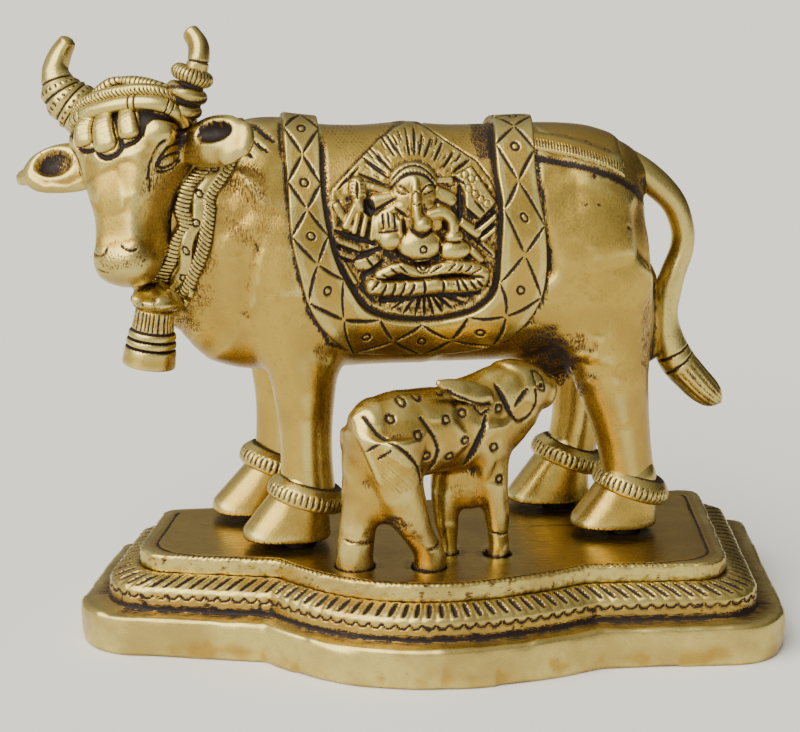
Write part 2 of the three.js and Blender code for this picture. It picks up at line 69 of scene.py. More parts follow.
bl_info = {
    "name": "Brass cow and calf",
    "version": (1, 0, 0),
    "blender": (4, 5, 0),
    "location": "View3D > Sidebar > Statue",
    "description": "A cast brass cow with her calf on a stepped base, and a plain studio for it",
    "category": "Add Mesh",
}

MM = 0.001
TURN = 2 * math.pi
BASE_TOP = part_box("base")[1].z / MM

# Where the cow and the calf stand on the base, as in the solids
COW_PLACE = (0, 23)
COW_YAW = 7.5
CALF_PLACE = (0, -9)
CALF_YAW = 27

# The base's outline, as in the solids
BASE_HALF_LENGTH = 99.4
BASE_BACK_MIDDLE = 58.6
BASE_BACK_SLOPE = 0.12
BASE_LEFT_SLOPE = 0.08
SHOULDER_LEFT = (-24, 0.14)
SHOULDER_RIGHT = (-28.6, 0.07)
BOW_FRONT = -44
BOW_REACH = 46
BOW_POWER_LEFT = 2.4
BOW_POWER_RIGHT = 1.7
END_INSET = 1.3
CORNER_RADIUS = 18
BACK_CORNER_RADIUS = 4
PLINTH_TOP = 11.5
CUSHION_SIDE_TOP = 17.2
CUSHION_INSET = 5.8
PLATE_BOTTOM = 20.5
PLATE_INSET = 12.6

# The cow's trunk in sections, head end first
TRUNK_X = np.array([-72, -68, -58, -44, -28, -10, 10, 28, 42, 53, 59.5, 62.5])
TRUNK_TOP = [88, 102, 115, 118.5, 117.6, 117, 117, 117.3, 116.4, 112, 103, 91]
TRUNK_UNDER = [66, 55.5, 50, 48.5, 49, 49.5, 49.5, 50, 52, 57, 66, 78]
TRUNK_WIDE = [5, 12, 17, 20, 21, 22, 22, 22, 21.5, 18.5, 12, 5]
BODY_FULLNESS = 2.25
LEG_SPREAD = 13.5
HOOF_LIFT = 2.2

HEAD_PLACE = (-82.5, -12, 107.5)
HEAD_TURN = 57
HEAD_NOD = 20
HEAD_ROLL = 8.5


# Curves and small sums

def unit(v):
    """Each vector over its own length."""
    return v / np.maximum(np.linalg.norm(v, axis=-1, keepdims=True), 1e-9)


def ramp(x, low, high):
    """0 below low, 1 above high, and the smooth cubic 3t^2 - 2t^3 between."""
    t = np.clip((x - low) / (high - low), 0, 1)
    return t * t * (3 - 2 * t)


def knots(values, t):
    """The Catmull-Rom curve through evenly spaced knots, at each t from 0 to 1."""
    values = np.asarray(values, float)
    flat = values.reshape(len(values), -1)
    last = len(values) - 1
    at = np.clip(t, 0, 1) * last
    i = np.minimum(at.astype(int), last - 1)
    f = (at - i)[:, None]
    p0, p1, p2, p3 = (flat[np.clip(i + k, 0, last)] for k in (-1, 0, 1, 2))
    f2, f3 = f * f, f * f * f
    m1, m2 = (p2 - p0) / 2, (p3 - p1) / 2
    out = (2 * f3 - 3 * f2 + 1) * p1 + (f3 - 2 * f2 + f) * m1 + (3 * f2 - 2 * f3) * p2 + (f3 - f2) * m2
    return out.reshape(len(at), *values.shape[1:])


def grain(u, v, size, seed):
    """Smooth noise from -1 to 1: random values on a square lattice of this size, eased between."""
    table = np.random.RandomState(seed).uniform(-1, 1, (64, 64))
    i, j = np.floor(u / size).astype(int), np.floor(v / size).astype(int)
    s, t = ramp(u / size - i, 0, 1), ramp(v / size - j, 0, 1)
    at = lambda a, b: table[(i + a) % 64, (j + b) % 64]
    return (at(0, 0) * (1 - s) + at(1, 0) * s) * (1 - t) + (at(0, 1) * (1 - s) + at(1, 1) * s) * t


def facets(u, v, size, seed, tilt=0.09):
    """Flat file marks met along soft ridges: each jittered lattice point holds a plane of its own random
    tilt, and the height is the planes' mean, weighted by exp(-14 d^2 / size^2) of the distance to each."""
    table = np.random.RandomState(seed).uniform(-1, 1, (4, 64, 64))
    i, j = np.floor(u / size).astype(int), np.floor(v / size).astype(int)
    total, weights = 0, 1e-9
    for a, b in ((a, b) for a in (-1, 0, 1) for b in (-1, 0, 1)):
        shift_u, shift_v, tilt_u, tilt_v = table[:, (i + a) % 64, (j + b) % 64]
        du = u - (i + a + 0.5 + 0.4 * shift_u) * size
        dv = v - (j + b + 0.5 + 0.4 * shift_v) * size
        weight = np.exp(-14 * (du * du + dv * dv) / size ** 2)
        total = total + weight * (tilt_u * du + tilt_v * dv) * tilt
        weights = weights + weight
    return total / weights


def to_line(p, line):
    """Distance of each point from a line through its knots."""
    best = np.full(p.shape[:-1], 1e9)
    line = np.asarray(line, float)
    for a, b in zip(line[:-1], line[1:]):
        ab = b - a
        t = np.clip(((p - a) @ ab) / (ab @ ab), 0, 1)
        best = np.minimum(best, np.linalg.norm(p - a - t[..., None] * ab, axis=-1))
    return best


def groove(p, line, wide, bends=10):
    """A graver's line: 1 on the smooth curve through the knots, falling to 0 at half-width wide."""
    curve = knots(line, np.linspace(0, 1, bends)) if len(line) > 2 else line
    return 1 - ramp(to_line(p, curve), 0.3 * wide, wide)


def cut(p, a, b, wide):
    """A lens-shaped cut from a to b: deepest on its middle line, and its width runs out at both ends."""
    a, b = np.asarray(a, float), np.asarray(b, float)
    ab = b - a
    t = ((p - a) @ ab) / (ab @ ab)
    gap = np.linalg.norm(p - a - t[..., None] * ab, axis=-1)
    reach = wide * np.sqrt(np.clip(1 - (2 * t - 1) ** 2, 0, 1))
    return np.where(reach > 1e-6, np.clip(1 - (gap / np.maximum(reach, 1e-6)) ** 2, 0, 1), 0)


def ring(p, centre, radius, wide):
    """A punched ring: 1 on the circle, 0 at half-width wide from it."""
    gap = np.abs(np.linalg.norm(p - np.asarray(centre, float), axis=-1) - radius)
    return 1 - ramp(gap, 0.25 * wide, wide)


def dome(p, centre, halves, tall, turn=0):
    """Half an ellipsoid standing on the plane: tall times the root of 1 - r^2."""
    c, s = math.cos(math.radians(turn)), math.sin(math.radians(turn))
    q = (p - np.asarray(centre, float)) @ np.array([[c, -s], [s, c]])
    r2 = (q[..., 0] / halves[0]) ** 2 + (q[..., 1] / halves[1]) ** 2
    return tall * np.sqrt(np.clip(1 - r2, 0, 1))


def bead(p, line, wide, tall):
    """A half-round ridge along a smooth curve."""
    curve = knots(line, np.linspace(0, 1, 9)) if len(line) > 2 else line
    return tall * np.sqrt(np.clip(1 - (to_line(p, curve) / wide) ** 2, 0, 1))


def polygon_distance(p, corners):
    """Distance of each point from a closed outline, negative inside it."""
    corners = np.asarray(corners, float)
    closed = np.vstack([corners, corners[:1]])
    inside = np.zeros(p.shape[:-1], bool)
    for (x0, z0), (x1, z1) in zip(closed[:-1], closed[1:]):
        spans = (z0 > p[..., 1]) != (z1 > p[..., 1])
        slope = (x1 - x0) / (z1 - z0) if z1 != z0 else 0
        inside ^= spans & (p[..., 0] < (p[..., 1] - z0) * slope + x0)
    return np.where(inside, -1, 1) * to_line(p, closed)


# Frames

def standing(points, place, yaw):
    """From a standing casting's own frame to the row's: a turn about z, then the shift."""
    c, s = math.cos(math.radians(yaw)), math.sin(math.radians(yaw))
    x, y, z = points[..., 0], points[..., 1], points[..., 2]
    return np.stack([place[0] + x * c - y * s, place[1] + x * s + y * c, z + BASE_TOP], -1)


def of_cow(points):
    return standing(points, COW_PLACE, COW_YAW)


def of_calf(points):
    return standing(points, CALF_PLACE, CALF_YAW)


@functools.lru_cache(None)
def head_axes():
    """Her head's axes in her frame: left, the way she faces and up the face, as rows."""
    facing = Vector((-math.cos(math.radians(HEAD_TURN)), -math.sin(math.radians(HEAD_TURN)), 0))
    up = Vector((0, 0, 1))
    roll = Matrix.Rotation(math.radians(HEAD_ROLL), 3, facing)
    left = roll @ up.cross(facing)
    nod = Matrix.Rotation(math.radians(-HEAD_NOD), 3, left)
    return np.array([left, nod @ facing, nod @ (roll @ up)])


def of_head(points):
    return of_cow(points @ head_axes() + np.array(HEAD_PLACE))


# Surfaces on a grid

def tube(path, wide, deep=None, side=(0, 1, 0), rings=80, sides=40, fullness=2.0, start=0.0, stop=1.0):
    """An oval carried along a smooth path.

    Returns the grid of points, the outward direction at each, and the two parameters.
    """
    deep = wide if deep is None else deep
    t = np.linspace(start, stop, rings)
    centre = knots(path, t)
    tangent = unit(np.gradient(centre, axis=0))
    side = np.asarray(side, float)
    u = unit(side - (tangent @ side)[:, None] * tangent)
    v = np.cross(tangent, u)
    angle = np.arange(sides) / sides * TURN
    c, s = np.cos(angle), np.sin(angle)
    reach = (np.abs(c) ** fullness + np.abs(s) ** fullness) ** (-1 / fullness)
    a, b = knots(wide, t)[:, None, None], knots(deep, t)[:, None, None]
    spoke = a * (c * reach)[None, :, None] * u[:, None] + b * (s * reach)[None, :, None] * v[:, None]
    t_grid, angle_grid = np.meshgrid(t, angle, indexing="ij")
    return centre[:, None] + spoke, unit(spoke), t_grid, angle_grid


def along(points):
    """Distance gone along each column of a grid, from its first row."""
    step = np.linalg.norm(np.diff(points, axis=0), axis=-1)
    return np.vstack([np.zeros((1, points.shape[1])), np.cumsum(step, axis=0)])


def grid_normals(points):
    """Unit normals of a grid, across the two directions of its rows and columns."""
    du = np.gradient(points, axis=0)
    dv = np.gradient(points, axis=1)
    return unit(np.cross(du, dv))


def wrapped(points, carved):
    """Vertices and faces of a closed skin: rows of points that close round, and a pole at each end."""
    rows, cols = points.shape[:2]
    index = np.arange(rows * cols).reshape(rows, cols)
    after = np.roll(index, -1, axis=1)
    quads = np.stack([index[:-1], after[:-1], after[1:], index[1:]], -1).reshape(-1, 4)
    first, last = rows * cols, rows * cols + 1
    ends = [
        np.stack([np.full(cols, first), after[0], index[0]], -1),
        np.stack([np.full(cols, last), index[-1], after[-1]], -1),
    ]
    flat = np.vstack([points.reshape(-1, 3), points[0].mean(0), points[-1].mean(0)])
    shade = np.concatenate([np.broadcast_to(carved, (rows, cols)).ravel(), [0, 0]])
    return flat, quads, np.vstack(ends), shade


def backed(points, carved, inward, sunk=3.0):
    """A sheet made a closed skin: two columns below its edges close each row round behind."""
    back = np.stack([points[:, -1] + inward[:, -1] * sunk, points[:, 0] + inward[:, 0] * sunk], 1)
    carved = np.broadcast_to(carved, points.shape[:2])
    return wrapped(np.concatenate([points, back], 1), np.concatenate([carved, carved[:, :2] * 0], 1))


def outward(skin):
    """The skin with its faces turned outwards: a closed skin's signed volume is then positive."""
    points, quads, fans, shade = skin
    p, q = points[quads] - points.mean(0), points[fans] - points.mean(0)
    volume = np.einsum("ij,ij->", p[:, 0], np.cross(p[:, 1], p[:, 2]) + np.cross(p[:, 2], p[:, 3]))
    if len(fans):
        volume += np.einsum("ij,ij->", q[:, 0], np.cross(q[:, 1], q[:, 2]))
    return skin if volume > 0 else (points, quads[:, ::-1], fans[:, ::-1], shade)


def gathered(skins):
    """Several closed skins as the parts of one mesh."""
    count = 0
    parts = ([], [], [], [])
    for points, quads, fans, shade in map(outward, skins):
        for part, one in zip(parts, (points, quads + count, fans + count, shade)):
            part.append(one)
        count += len(points)
    return [np.concatenate(part) for part in parts]


# Solid shapes as fields: negative inside, and about the distance in millimetres outside

def limb(path, wide, deep=None, side=(0, 1, 0), fullness=2.0, stations=24, margin=12.0, nose=None):
    """The field of an oval carried along a smooth path.

    A point's nearest station gives its oval. The field is the point's distance from the
    station less the oval's reach in that direction. The ends are rounded: they reach nose
    beyond the path, or else half the oval's mean size.
    """
    deep = wide if deep is None else deep
    t = np.linspace(0, 1, stations)
    centre = knots(path, t)
    tangent = unit(np.gradient(centre, axis=0))
    side = np.asarray(side, float)
    u = unit(side - (tangent @ side)[:, None] * tangent)
    v = np.cross(tangent, u)
    a, b = np.maximum(knots(wide, t), 0.3), np.maximum(knots(deep, t), 0.3)
    most = max(a.max(), b.max())
    low, high = centre.min(0) - most, centre.max(0) + most

    def field(points):
        outside = np.linalg.norm(np.maximum(np.maximum(low - points, points - high), 0), axis=1)
        value = outside + margin * 0.5
        near = np.flatnonzero(outside < margin)
        if not len(near):
            return value
        p = points[near]
        best = np.full(len(p), 1e12)
        at = np.zeros(len(p))
        for i in range(stations - 1):
            step = centre[i + 1] - centre[i]
            rel = p - centre[i]
            f = np.clip(rel @ step / (step @ step), 0, 1)
            gap = rel - f[:, None] * step
            d = np.einsum("ij,ij->i", gap, gap)
            closer = d < best
            best = np.where(closer, d, best)
            at = np.where(closer, i + f, at)
        i = np.minimum(at.astype(int), stations - 2)
        f = (at - i)[:, None]
        mix = lambda k: k[i] * (1 - f) + k[i + 1] * f
        q = p - mix(centre)
        wide_at, deep_at = mix(a[:, None])[:, 0], mix(b[:, None])[:, 0]
        across = np.abs(np.einsum("ij,ij->i", q, mix(u))) / wide_at
        down = np.abs(np.einsum("ij,ij->i", q, mix(v))) / deep_at
        beyond = np.abs(np.einsum("ij,ij->i", q, mix(tangent))) / (nose or 0.5 * (wide_at + deep_at))
        measure = np.hypot((across ** fullness + down ** fullness) ** (1 / fullness), beyond)
        size = np.linalg.norm(q, axis=1)
        edge = np.where(measure > 1e-5, size / np.maximum(measure, 1e-5), np.minimum(wide_at, deep_at))
        value[near] = size - edge
        return value

    return field


def stack(axis, places, centre, wide, deep, fullness, cap=1.5, aside=None):
    """The field of ovals stacked along a straight axis (0 for x, 2 for z), smooth in between.

    The oval's middle, half-sizes and fullness at a point come from smooth curves through the
    given sections. The field is the distance to the oval in its own plane, made less where the
    sections change fast, and both ends are cut off flat with a rounded edge. The middle is
    given by centre in the last other axis, and by aside in the first.
    """
    aside = np.zeros(len(places)) if aside is None else aside
    places = np.asarray(places, float)
    order = np.argsort(places)
    t = np.linspace(0, 1, 400)
    fine = knots(places[order], t)
    table = [knots(np.asarray(k, float)[order], t) for k in (centre, wide, deep, fullness, aside)]
    low, high = places.min(), places.max()
    slope = np.abs(np.gradient(0.5 * (table[1] + table[2]), fine)) + np.abs(np.gradient(table[4], fine))
    table.append(1 / np.sqrt(1 + np.clip(slope, 0, 3) ** 2))

    def field(points):
        along_it, across = points[:, axis], points[:, 1 if axis == 0 else 0]
        other = points[:, 2 if axis == 0 else 1]
        mid, a, b, n, shift, scale = (np.interp(along_it, fine, k) for k in table)
        gap = other - mid
        across = across - shift
        measure = ((np.abs(across) / a) ** n + (np.abs(gap) / b) ** n) ** (1 / n)
        size = np.hypot(across, gap)
        value = (size - np.where(measure > 1e-4, size / np.maximum(measure, 1e-4), np.minimum(a, b))) * scale
        return -blend(-value, -np.maximum(low - along_it, along_it - high), cap)

    return field


def egg(centre, halves):
    """The field of an ellipsoid: k(k - 1)/g, with k its own measure and g its slope."""
    centre, halves = np.asarray(centre, float), np.asarray(halves, float)

    def field(points):
        q = (points - centre) / halves
        k = np.linalg.norm(q, axis=1)
        return k * (k - 1) / np.maximum(np.linalg.norm(q / halves, axis=1), 1e-6)

    return field


def blend(a, b, soft):
    """The union of two fields, filleted by the smooth minimum over a width of soft."""
    h = np.clip(0.5 + 0.5 * (b - a) / soft, 0, 1)
    return b * (1 - h) + a * h - soft * h * (1 - h)


def carve(a, b, soft):
    """Field a with b cut out of it, the edge eased."""
    return -blend(-a, b, soft)


def slope_of(field, points, step=0.06):
    """The field and its gradient, by forward differences along each axis."""
    value = field(points)
    grad = [(field(points + np.eye(3)[k] * step) - value) / step for k in range(3)]
    return value, np.stack(grad, 1)


def shell(field, low, high, cell, block=4, rounds=2):
    """The surface where a field is zero, as a net of quads, with the outward direction.

    Each cell of a grid that the surface crosses holds one vertex, at the mean of the crossings
    of its edges, and each crossed edge gives one quad between its four cells. The vertices are
    then pulled down the field's slope onto the surface.
    """
    low, high = np.asarray(low, float), np.asarray(high, float)
    count = np.ceil((high - low) / (cell * block)).astype(int)
    corners = np.stack(np.meshgrid(*[np.arange(n + 1) for n in count], indexing="ij"), -1)
    rough = field((low + corners * cell * block).reshape(-1, 3)).reshape(count + 1)
    close = np.abs(rough) < cell * block * 1.9
    near = np.zeros(count, bool)
    for shift in np.ndindex(2, 2, 2):
        near |= close[tuple(slice(s, n + s) for s, n in zip(shift, count))]
    size = count * block
    cells = near.repeat(block, 0).repeat(block, 1).repeat(block, 2)
    nodes = np.zeros(size + 1, bool)
    for shift in np.ndindex(2, 2, 2):
        nodes[tuple(slice(s, n + s) for s, n in zip(shift, size))] |= cells
    value = np.pad(rough[:-1, :-1, :-1].repeat(block, 0).repeat(block, 1).repeat(block, 2), ((0, 1),) * 3, "edge")
    where = np.argwhere(nodes)
    value[nodes] = field(low + where * cell)
    inside = value < 0
    flat = lambda i: (i[:, 0] * size[1] + i[:, 1]) * size[2] + i[:, 2]
    owners, places, flips = [], [], []
    for axis in range(3):
        ahead = tuple(slice(1, None) if k == axis else slice(None) for k in range(3))
        behind = tuple(slice(None, -1) if k == axis else slice(None) for k in range(3))
        edge = np.argwhere(inside[ahead] != inside[behind])
        one, two = np.eye(3, dtype=int)[(axis + 1) % 3], np.eye(3, dtype=int)[(axis + 2) % 3]
        v0 = value[tuple(edge.T)]
        v1 = value[tuple((edge + np.eye(3, dtype=int)[axis]).T)]
        places.append(edge + np.eye(3)[axis] * (v0 / (v0 - v1))[:, None])
        owners.append(np.stack([flat(edge - one - two), flat(edge - two), flat(edge), flat(edge - one)], 1))
        flips.append(v0 > 0)
    owners, places, flips = (np.concatenate(x) for x in (owners, places, flips))
    used, quads = np.unique(owners, return_inverse=True)
    quads = quads.reshape(owners.shape)
    weight = np.bincount(quads.ravel())
    points = np.stack([np.bincount(quads.ravel(), np.repeat(places[:, k], 4)) / weight for k in range(3)], 1)
    quads[flips] = quads[flips][:, ::-1]
    points = low + points * cell
    for _ in range(rounds):
        level, grad = slope_of(field, points)
        push = level / np.maximum(np.einsum("ij,ij->i", grad, grad), 0.2)
        points = points - grad * np.clip(push, -cell, cell)[:, None]
    outward = unit(slope_of(field, points, 0.2)[1])
    return points, quads, outward


# The cow's body

def trunk_at(x):
    """Her trunk's section at x: the middle of its height, its half-height and its half-width."""
    t = np.interp(x, TRUNK_X, np.linspace(0, 1, len(TRUNK_X)))
    top, under, wide = (knots(k, t.ravel()).reshape(t.shape) for k in (TRUNK_TOP, TRUNK_UNDER, TRUNK_WIDE))
    return (top + under) / 2, (top - under) / 2, wide


LEGS = [
    {
        "y": -LEG_SPREAD, "toe": -55.3, "heel": -30, "top": -47, "tall": 14, "ring": (-37.3, 14.8, 16),
        "x": [-40, -39, -38.2, -38, -37.6, -37.4, -37],
        "z": [96, 84, 66, 50, 36, 24, 13],
        "wide": [3, 7, 9, 8.3, 7, 6.8, 7.4],
        "deep": [4, 10, 12, 9.6, 7.7, 7.4, 8],
    },
    {
        "y": LEG_SPREAD, "toe": -62.5, "heel": -37, "top": -52, "tall": 15.4, "ring": (-43.6, 16.8, 18),
        "x": [-40, -40, -40.5, -42, -42.3, -42.6, -43],
        "z": [96, 84, 66, 50, 36, 24, 14],
        "wide": [3, 7, 9, 8.3, 7, 7, 7.2],
        "deep": [4, 10, 12, 9.6, 7.6, 7.4, 7.8],
    },
    {
        "y": -LEG_SPREAD, "toe": 39.8, "heel": 65, "top": 48, "tall": 14.4, "ring": (56.8, 14, 19),
        "x": [44, 44.4, 45, 46.4, 50, 54.2, 56.4],
        "z": [106, 94, 78, 60, 45, 27, 13],
        "wide": [3, 7, 9, 9.5, 9, 7.7, 7.4],
        "deep": [4, 11, 15.6, 14.2, 11, 8, 8],
    },
    {
        "y": LEG_SPREAD, "toe": 26, "heel": 51, "top": 35, "tall": 15.4, "ring": (43.8, 15.6, 20),
        "x": [44, 44.4, 45, 46, 48.6, 46.6, 43.6],
        "z": [106, 94, 78, 60, 44, 27, 14],
        "wide": [3, 7, 9, 9.5, 9, 7.7, 7.4],
        "deep": [4, 11, 15.6, 14.2, 10.6, 8, 8],
    },
]
NECK_PATH = [(-43, 0, 84), (-54, -1, 87), (-64, -3.5, 90), (-71, -6.5, 94), (-76, -9.5, 99), (-80, -11.5, 104)]
NECK_WIDE = [14.5, 16, 14, 10.8, 8.2, 7]
NECK_DEEP = [26, 30, 28, 25, 19, 12]


@functools.lru_cache(None)
def body_parts():
    """The fields that her body is blended from, each with the width of its fillet."""
    top, under = np.array(TRUNK_TOP), np.array(TRUNK_UNDER)
    trunk = stack(0, TRUNK_X, (top + under) / 2, TRUNK_WIDE, (top - under) / 2, [BODY_FULLNESS] * len(top), 7.0)
    neck = limb(NECK_PATH, NECK_WIDE, NECK_DEEP, stations=28, nose=6.0)
    parts = [(neck, 9.0)]
    for leg in LEGS:
        count = len(leg["z"])
        ridge = [2.0, 2.0, 2.0, 1.9, 1.72, 1.72, 1.8]
        parts.append((stack(2, leg["z"], [leg["y"]] * count, leg["deep"], leg["wide"], ridge, 3.0, leg["x"]), 7.0))
    parts.append((limb([(44, 0, 107), (54, 0, 105), (62, 0, 101)], [6, 5.4, 3.2], stations=8), 6.0))
    parts.append((egg((33, 0, 51), (10, 12, 7)), 5.0))
    web = [(54, 0, 78), (60, 0, 70), (62.8, 0, 60), (64.2, 0, 51)]
    parts.append((limb(web, [2.6, 2.4, 2.4, 2.2], [4.2, 5.0, 4.8, 3.4], stations=20, nose=2.6), 5.0))
    parts.append((egg((57.2, 0, 60), (8.4, 12, 16)), 8.0))
    for x in (29, 37):
        for y in (-5, 5):
            parts.append((egg((x, y, 44.6), (1.9, 1.9, 3.4)), 1.2))
    return trunk, parts


def body_field(points):
    trunk, parts = body_parts()
    value = trunk(points)
    for field, soft in parts:
        value = blend(value, field(points), soft)
    return value


# The saddle cloth's border and the strap, in x and z seen from her side; above her back is her spine
SPINE = 130
CLOTH_EDGE = [
    (-42.8, SPINE), (-43.3, 114), (-42.6, 103), (-42, 91), (-40.2, 81), (-37, 69.7), (-31.3, 60), (-24, 56.2),
    (-11.7, 55.2), (5.2, 55), (17.6, 58), (24, 63.4), (28.2, 71), (29.5, 80.3), (28.8, 92), (27.1, 103.6),
    (27.4, 113), (29.0, SPINE),
]
PANEL_EDGE = [
    (-32.0, SPINE), (-32.4, 114), (-32.7, 102.4), (-31.3, 91), (-29.4, 83.5), (-26.4, 77.2), (-21.5, 70),
    (-16, 67), (-9, 65.7), (0, 65.8), (8.4, 67.8), (13.2, 71.4), (15.2, 76), (15.9, 85.4), (16.4, 97),
    (15.4, 106), (15.6, 114), (17.2, SPINE),
]
CLOTH_RINGS = [
    (-40.3, 116.5), (-39.1, 104.2), (-38.2, 90.1), (-32.2, 75.4), (-20.7, 61.5), (-5.3, 59.9), (11, 62.3),
    (21.1, 74.2), (21.7, 94.2), (20, 112), (20.5, 120.8),
]


@functools.lru_cache(None)
def girth_table():
    """How high a point of the oval section stands, from -1 to 1, by its angle from -90 to 90 degrees."""
    angle = np.linspace(-math.pi / 2, math.pi / 2, 721)
    c, s = np.cos(angle), np.sin(angle)
    reach = (np.abs(c) ** BODY_FULLNESS + np.abs(s) ** BODY_FULLNESS) ** (-1 / BODY_FULLNESS)
    return angle, s * reach, c * reach


def girth(x, z):
    """The angle round her trunk of a point seen from the side at x and z."""
    middle, half, _ = trunk_at(np.asarray(x, float))
    angle, level, _ = girth_table()
    return np.interp(np.clip((z - middle) / half, -1, 1), level, angle)


def flank(x, turn, side):
    """The point of her trunk at x and at an angle round it, on the side whose y has this sign."""
    middle, half, wide = trunk_at(x)
    angle, level, out = girth_table()
    return np.stack([x, side * wide * np.interp(turn, angle, out), middle + half * np.interp(turn, angle, level)], -1)


def laid(x, turn, side, coarse=70):
    """A grid of points on her body and their normals, from a coarser grid pulled onto the body's field."""
    rows, cols = np.linspace(0, 1, coarse), np.linspace(0, 1, coarse)
    pick = lambda grid: knots(np.swapaxes(knots(grid, rows), 0, 1), cols).swapaxes(0, 1)
    points = flank(pick(x), pick(turn), side)
    flat = points.reshape(-1, 3)
    for _ in range(3):
        value, grad = slope_of(body_field, flat)
        flat = flat - grad * (value / np.maximum(np.einsum("ij,ij->i", grad, grad), 0.3))[:, None]
    points = flat.reshape(points.shape)
    normals = grid_normals(points)
    if (normals[..., 1] * side).mean() < 0:
        normals = -normals
    back_rows, back_cols = np.linspace(0, 1, x.shape[0]), np.linspace(0, 1, x.shape[1])
    spread = lambda grid: knots(np.swapaxes(knots(grid, back_rows), 0, 1), back_cols).swapaxes(0, 1)
    return spread(points), unit(spread(normals))


# Meshes, and where the dark lies on them

def vertex_normals(points, quads, fans):
    """Each vertex's normal: the sum of its faces' area vectors, over its length."""
    total = np.zeros_like(points)
    for faces in (quads, fans):
        if len(faces):
            p = points[faces]
            area = np.cross(p[:, 2] - p[:, 0], p[:, -1] - p[:, 1] if faces.shape[1] == 4 else p[:, 1] - p[:, 0])
            area = area if faces.shape[1] == 4 else -area
            for k in range(faces.shape[1]):
                for axis in range(3):
                    total[:, axis] += np.bincount(faces[:, k], area[:, axis], len(points))
    return unit(total)


def settled(points, quads, rounds):
    """The points after each has moved to the mean of its neighbours this many times."""
    pairs = np.concatenate([quads[:, [0, 1]], quads[:, [1, 2]], quads[:, [2, 3]], quads[:, [3, 0]]])
    degree = np.maximum(np.bincount(pairs.ravel(), minlength=len(points)), 1)
    for _ in range(rounds):
        moved = [
            (
                np.bincount(pairs[:, 0], points[pairs[:, 1], k], len(points))
                + np.bincount(pairs[:, 1], points[pairs[:, 0], k], len(points))
            )
            / degree
            for k in range(3)
        ]
        points = np.stack(moved, 1)
    return points


HOLLOW_CELL = 2.0


@functools.lru_cache(None)
def fullness_map():
    """How much of the space around each place is metal: inside or outside on a grid, blurred three times."""
    low, high = np.array([-126.0, -56, -10]), np.array([108.0, 84, 190])
    count = ((high - low) / HOLLOW_CELL).astype(int)
    axes = [low[k] + np.arange(count[k]) * HOLLOW_CELL for k in range(3)]
    grid = np.stack(np.meshgrid(*axes, indexing="ij"), -1).reshape(-1, 3)
    solid = np.zeros(len(grid))
    x, y, z = grid.T
    for top, inset in ((PLINTH_TOP, 0), (18.5, CUSHION_INSET), (BASE_TOP, PLATE_INSET)):
        front, back = base_front(x, inset), base_back(x, inset)
        ends = BASE_HALF_LENGTH - inset * END_INSET
        solid = np.maximum(solid, (np.abs(x) < ends) & (y > front) & (y < back) & (z > 0) & (z < top))
    for place, yaw, field in (
        (COW_PLACE, COW_YAW, lambda p: np.minimum(body_field(p), hoof_field(p))),
        (CALF_PLACE, CALF_YAW, calf_field),
        (None, 0, None),
    ):
        if field:
            c, s = math.cos(math.radians(yaw)), math.sin(math.radians(yaw))
            dx, dy = x - place[0], y - place[1]
            own = np.stack([dx * c + dy * s, dy * c - dx * s, z - BASE_TOP], 1)
            solid = np.maximum(solid, field(own) < 0)
    c, s = math.cos(math.radians(COW_YAW)), math.sin(math.radians(COW_YAW))
    dx, dy = x - COW_PLACE[0], y - COW_PLACE[1]
    own = np.stack([dx * c + dy * s, dy * c - dx * s, z - BASE_TOP], 1)
    solid = np.maximum(solid, head_field((own - np.array(HEAD_PLACE)) @ head_axes().T) < 0)
    full = solid.reshape(count)
    for _ in range(3):
        for axis in range(3):
            full = sum(np.roll(full, k, axis) for k in (-1, 0, 1)) / 3
    return low, full


def buried(points, normals, off=2.5):
    """The share of metal around a place a little way out from each vertex, read from the grid."""
    low, full = fullness_map()
    at = (points + normals * off - low) / HOLLOW_CELL
    i = np.clip(at.astype(int), 0, np.array(full.shape) - 2)
    f = np.clip(at - i, 0, 1)
    total = 0
    for a, b, c in np.ndindex(2, 2, 2):
        weight = 1
        for k, corner in enumerate((a, b, c)):
            weight = weight * (f[:, k] if corner else 1 - f[:, k])
        total = total + weight * full[i[:, 0] + a, i[:, 1] + b, i[:, 2] + c]
    return total


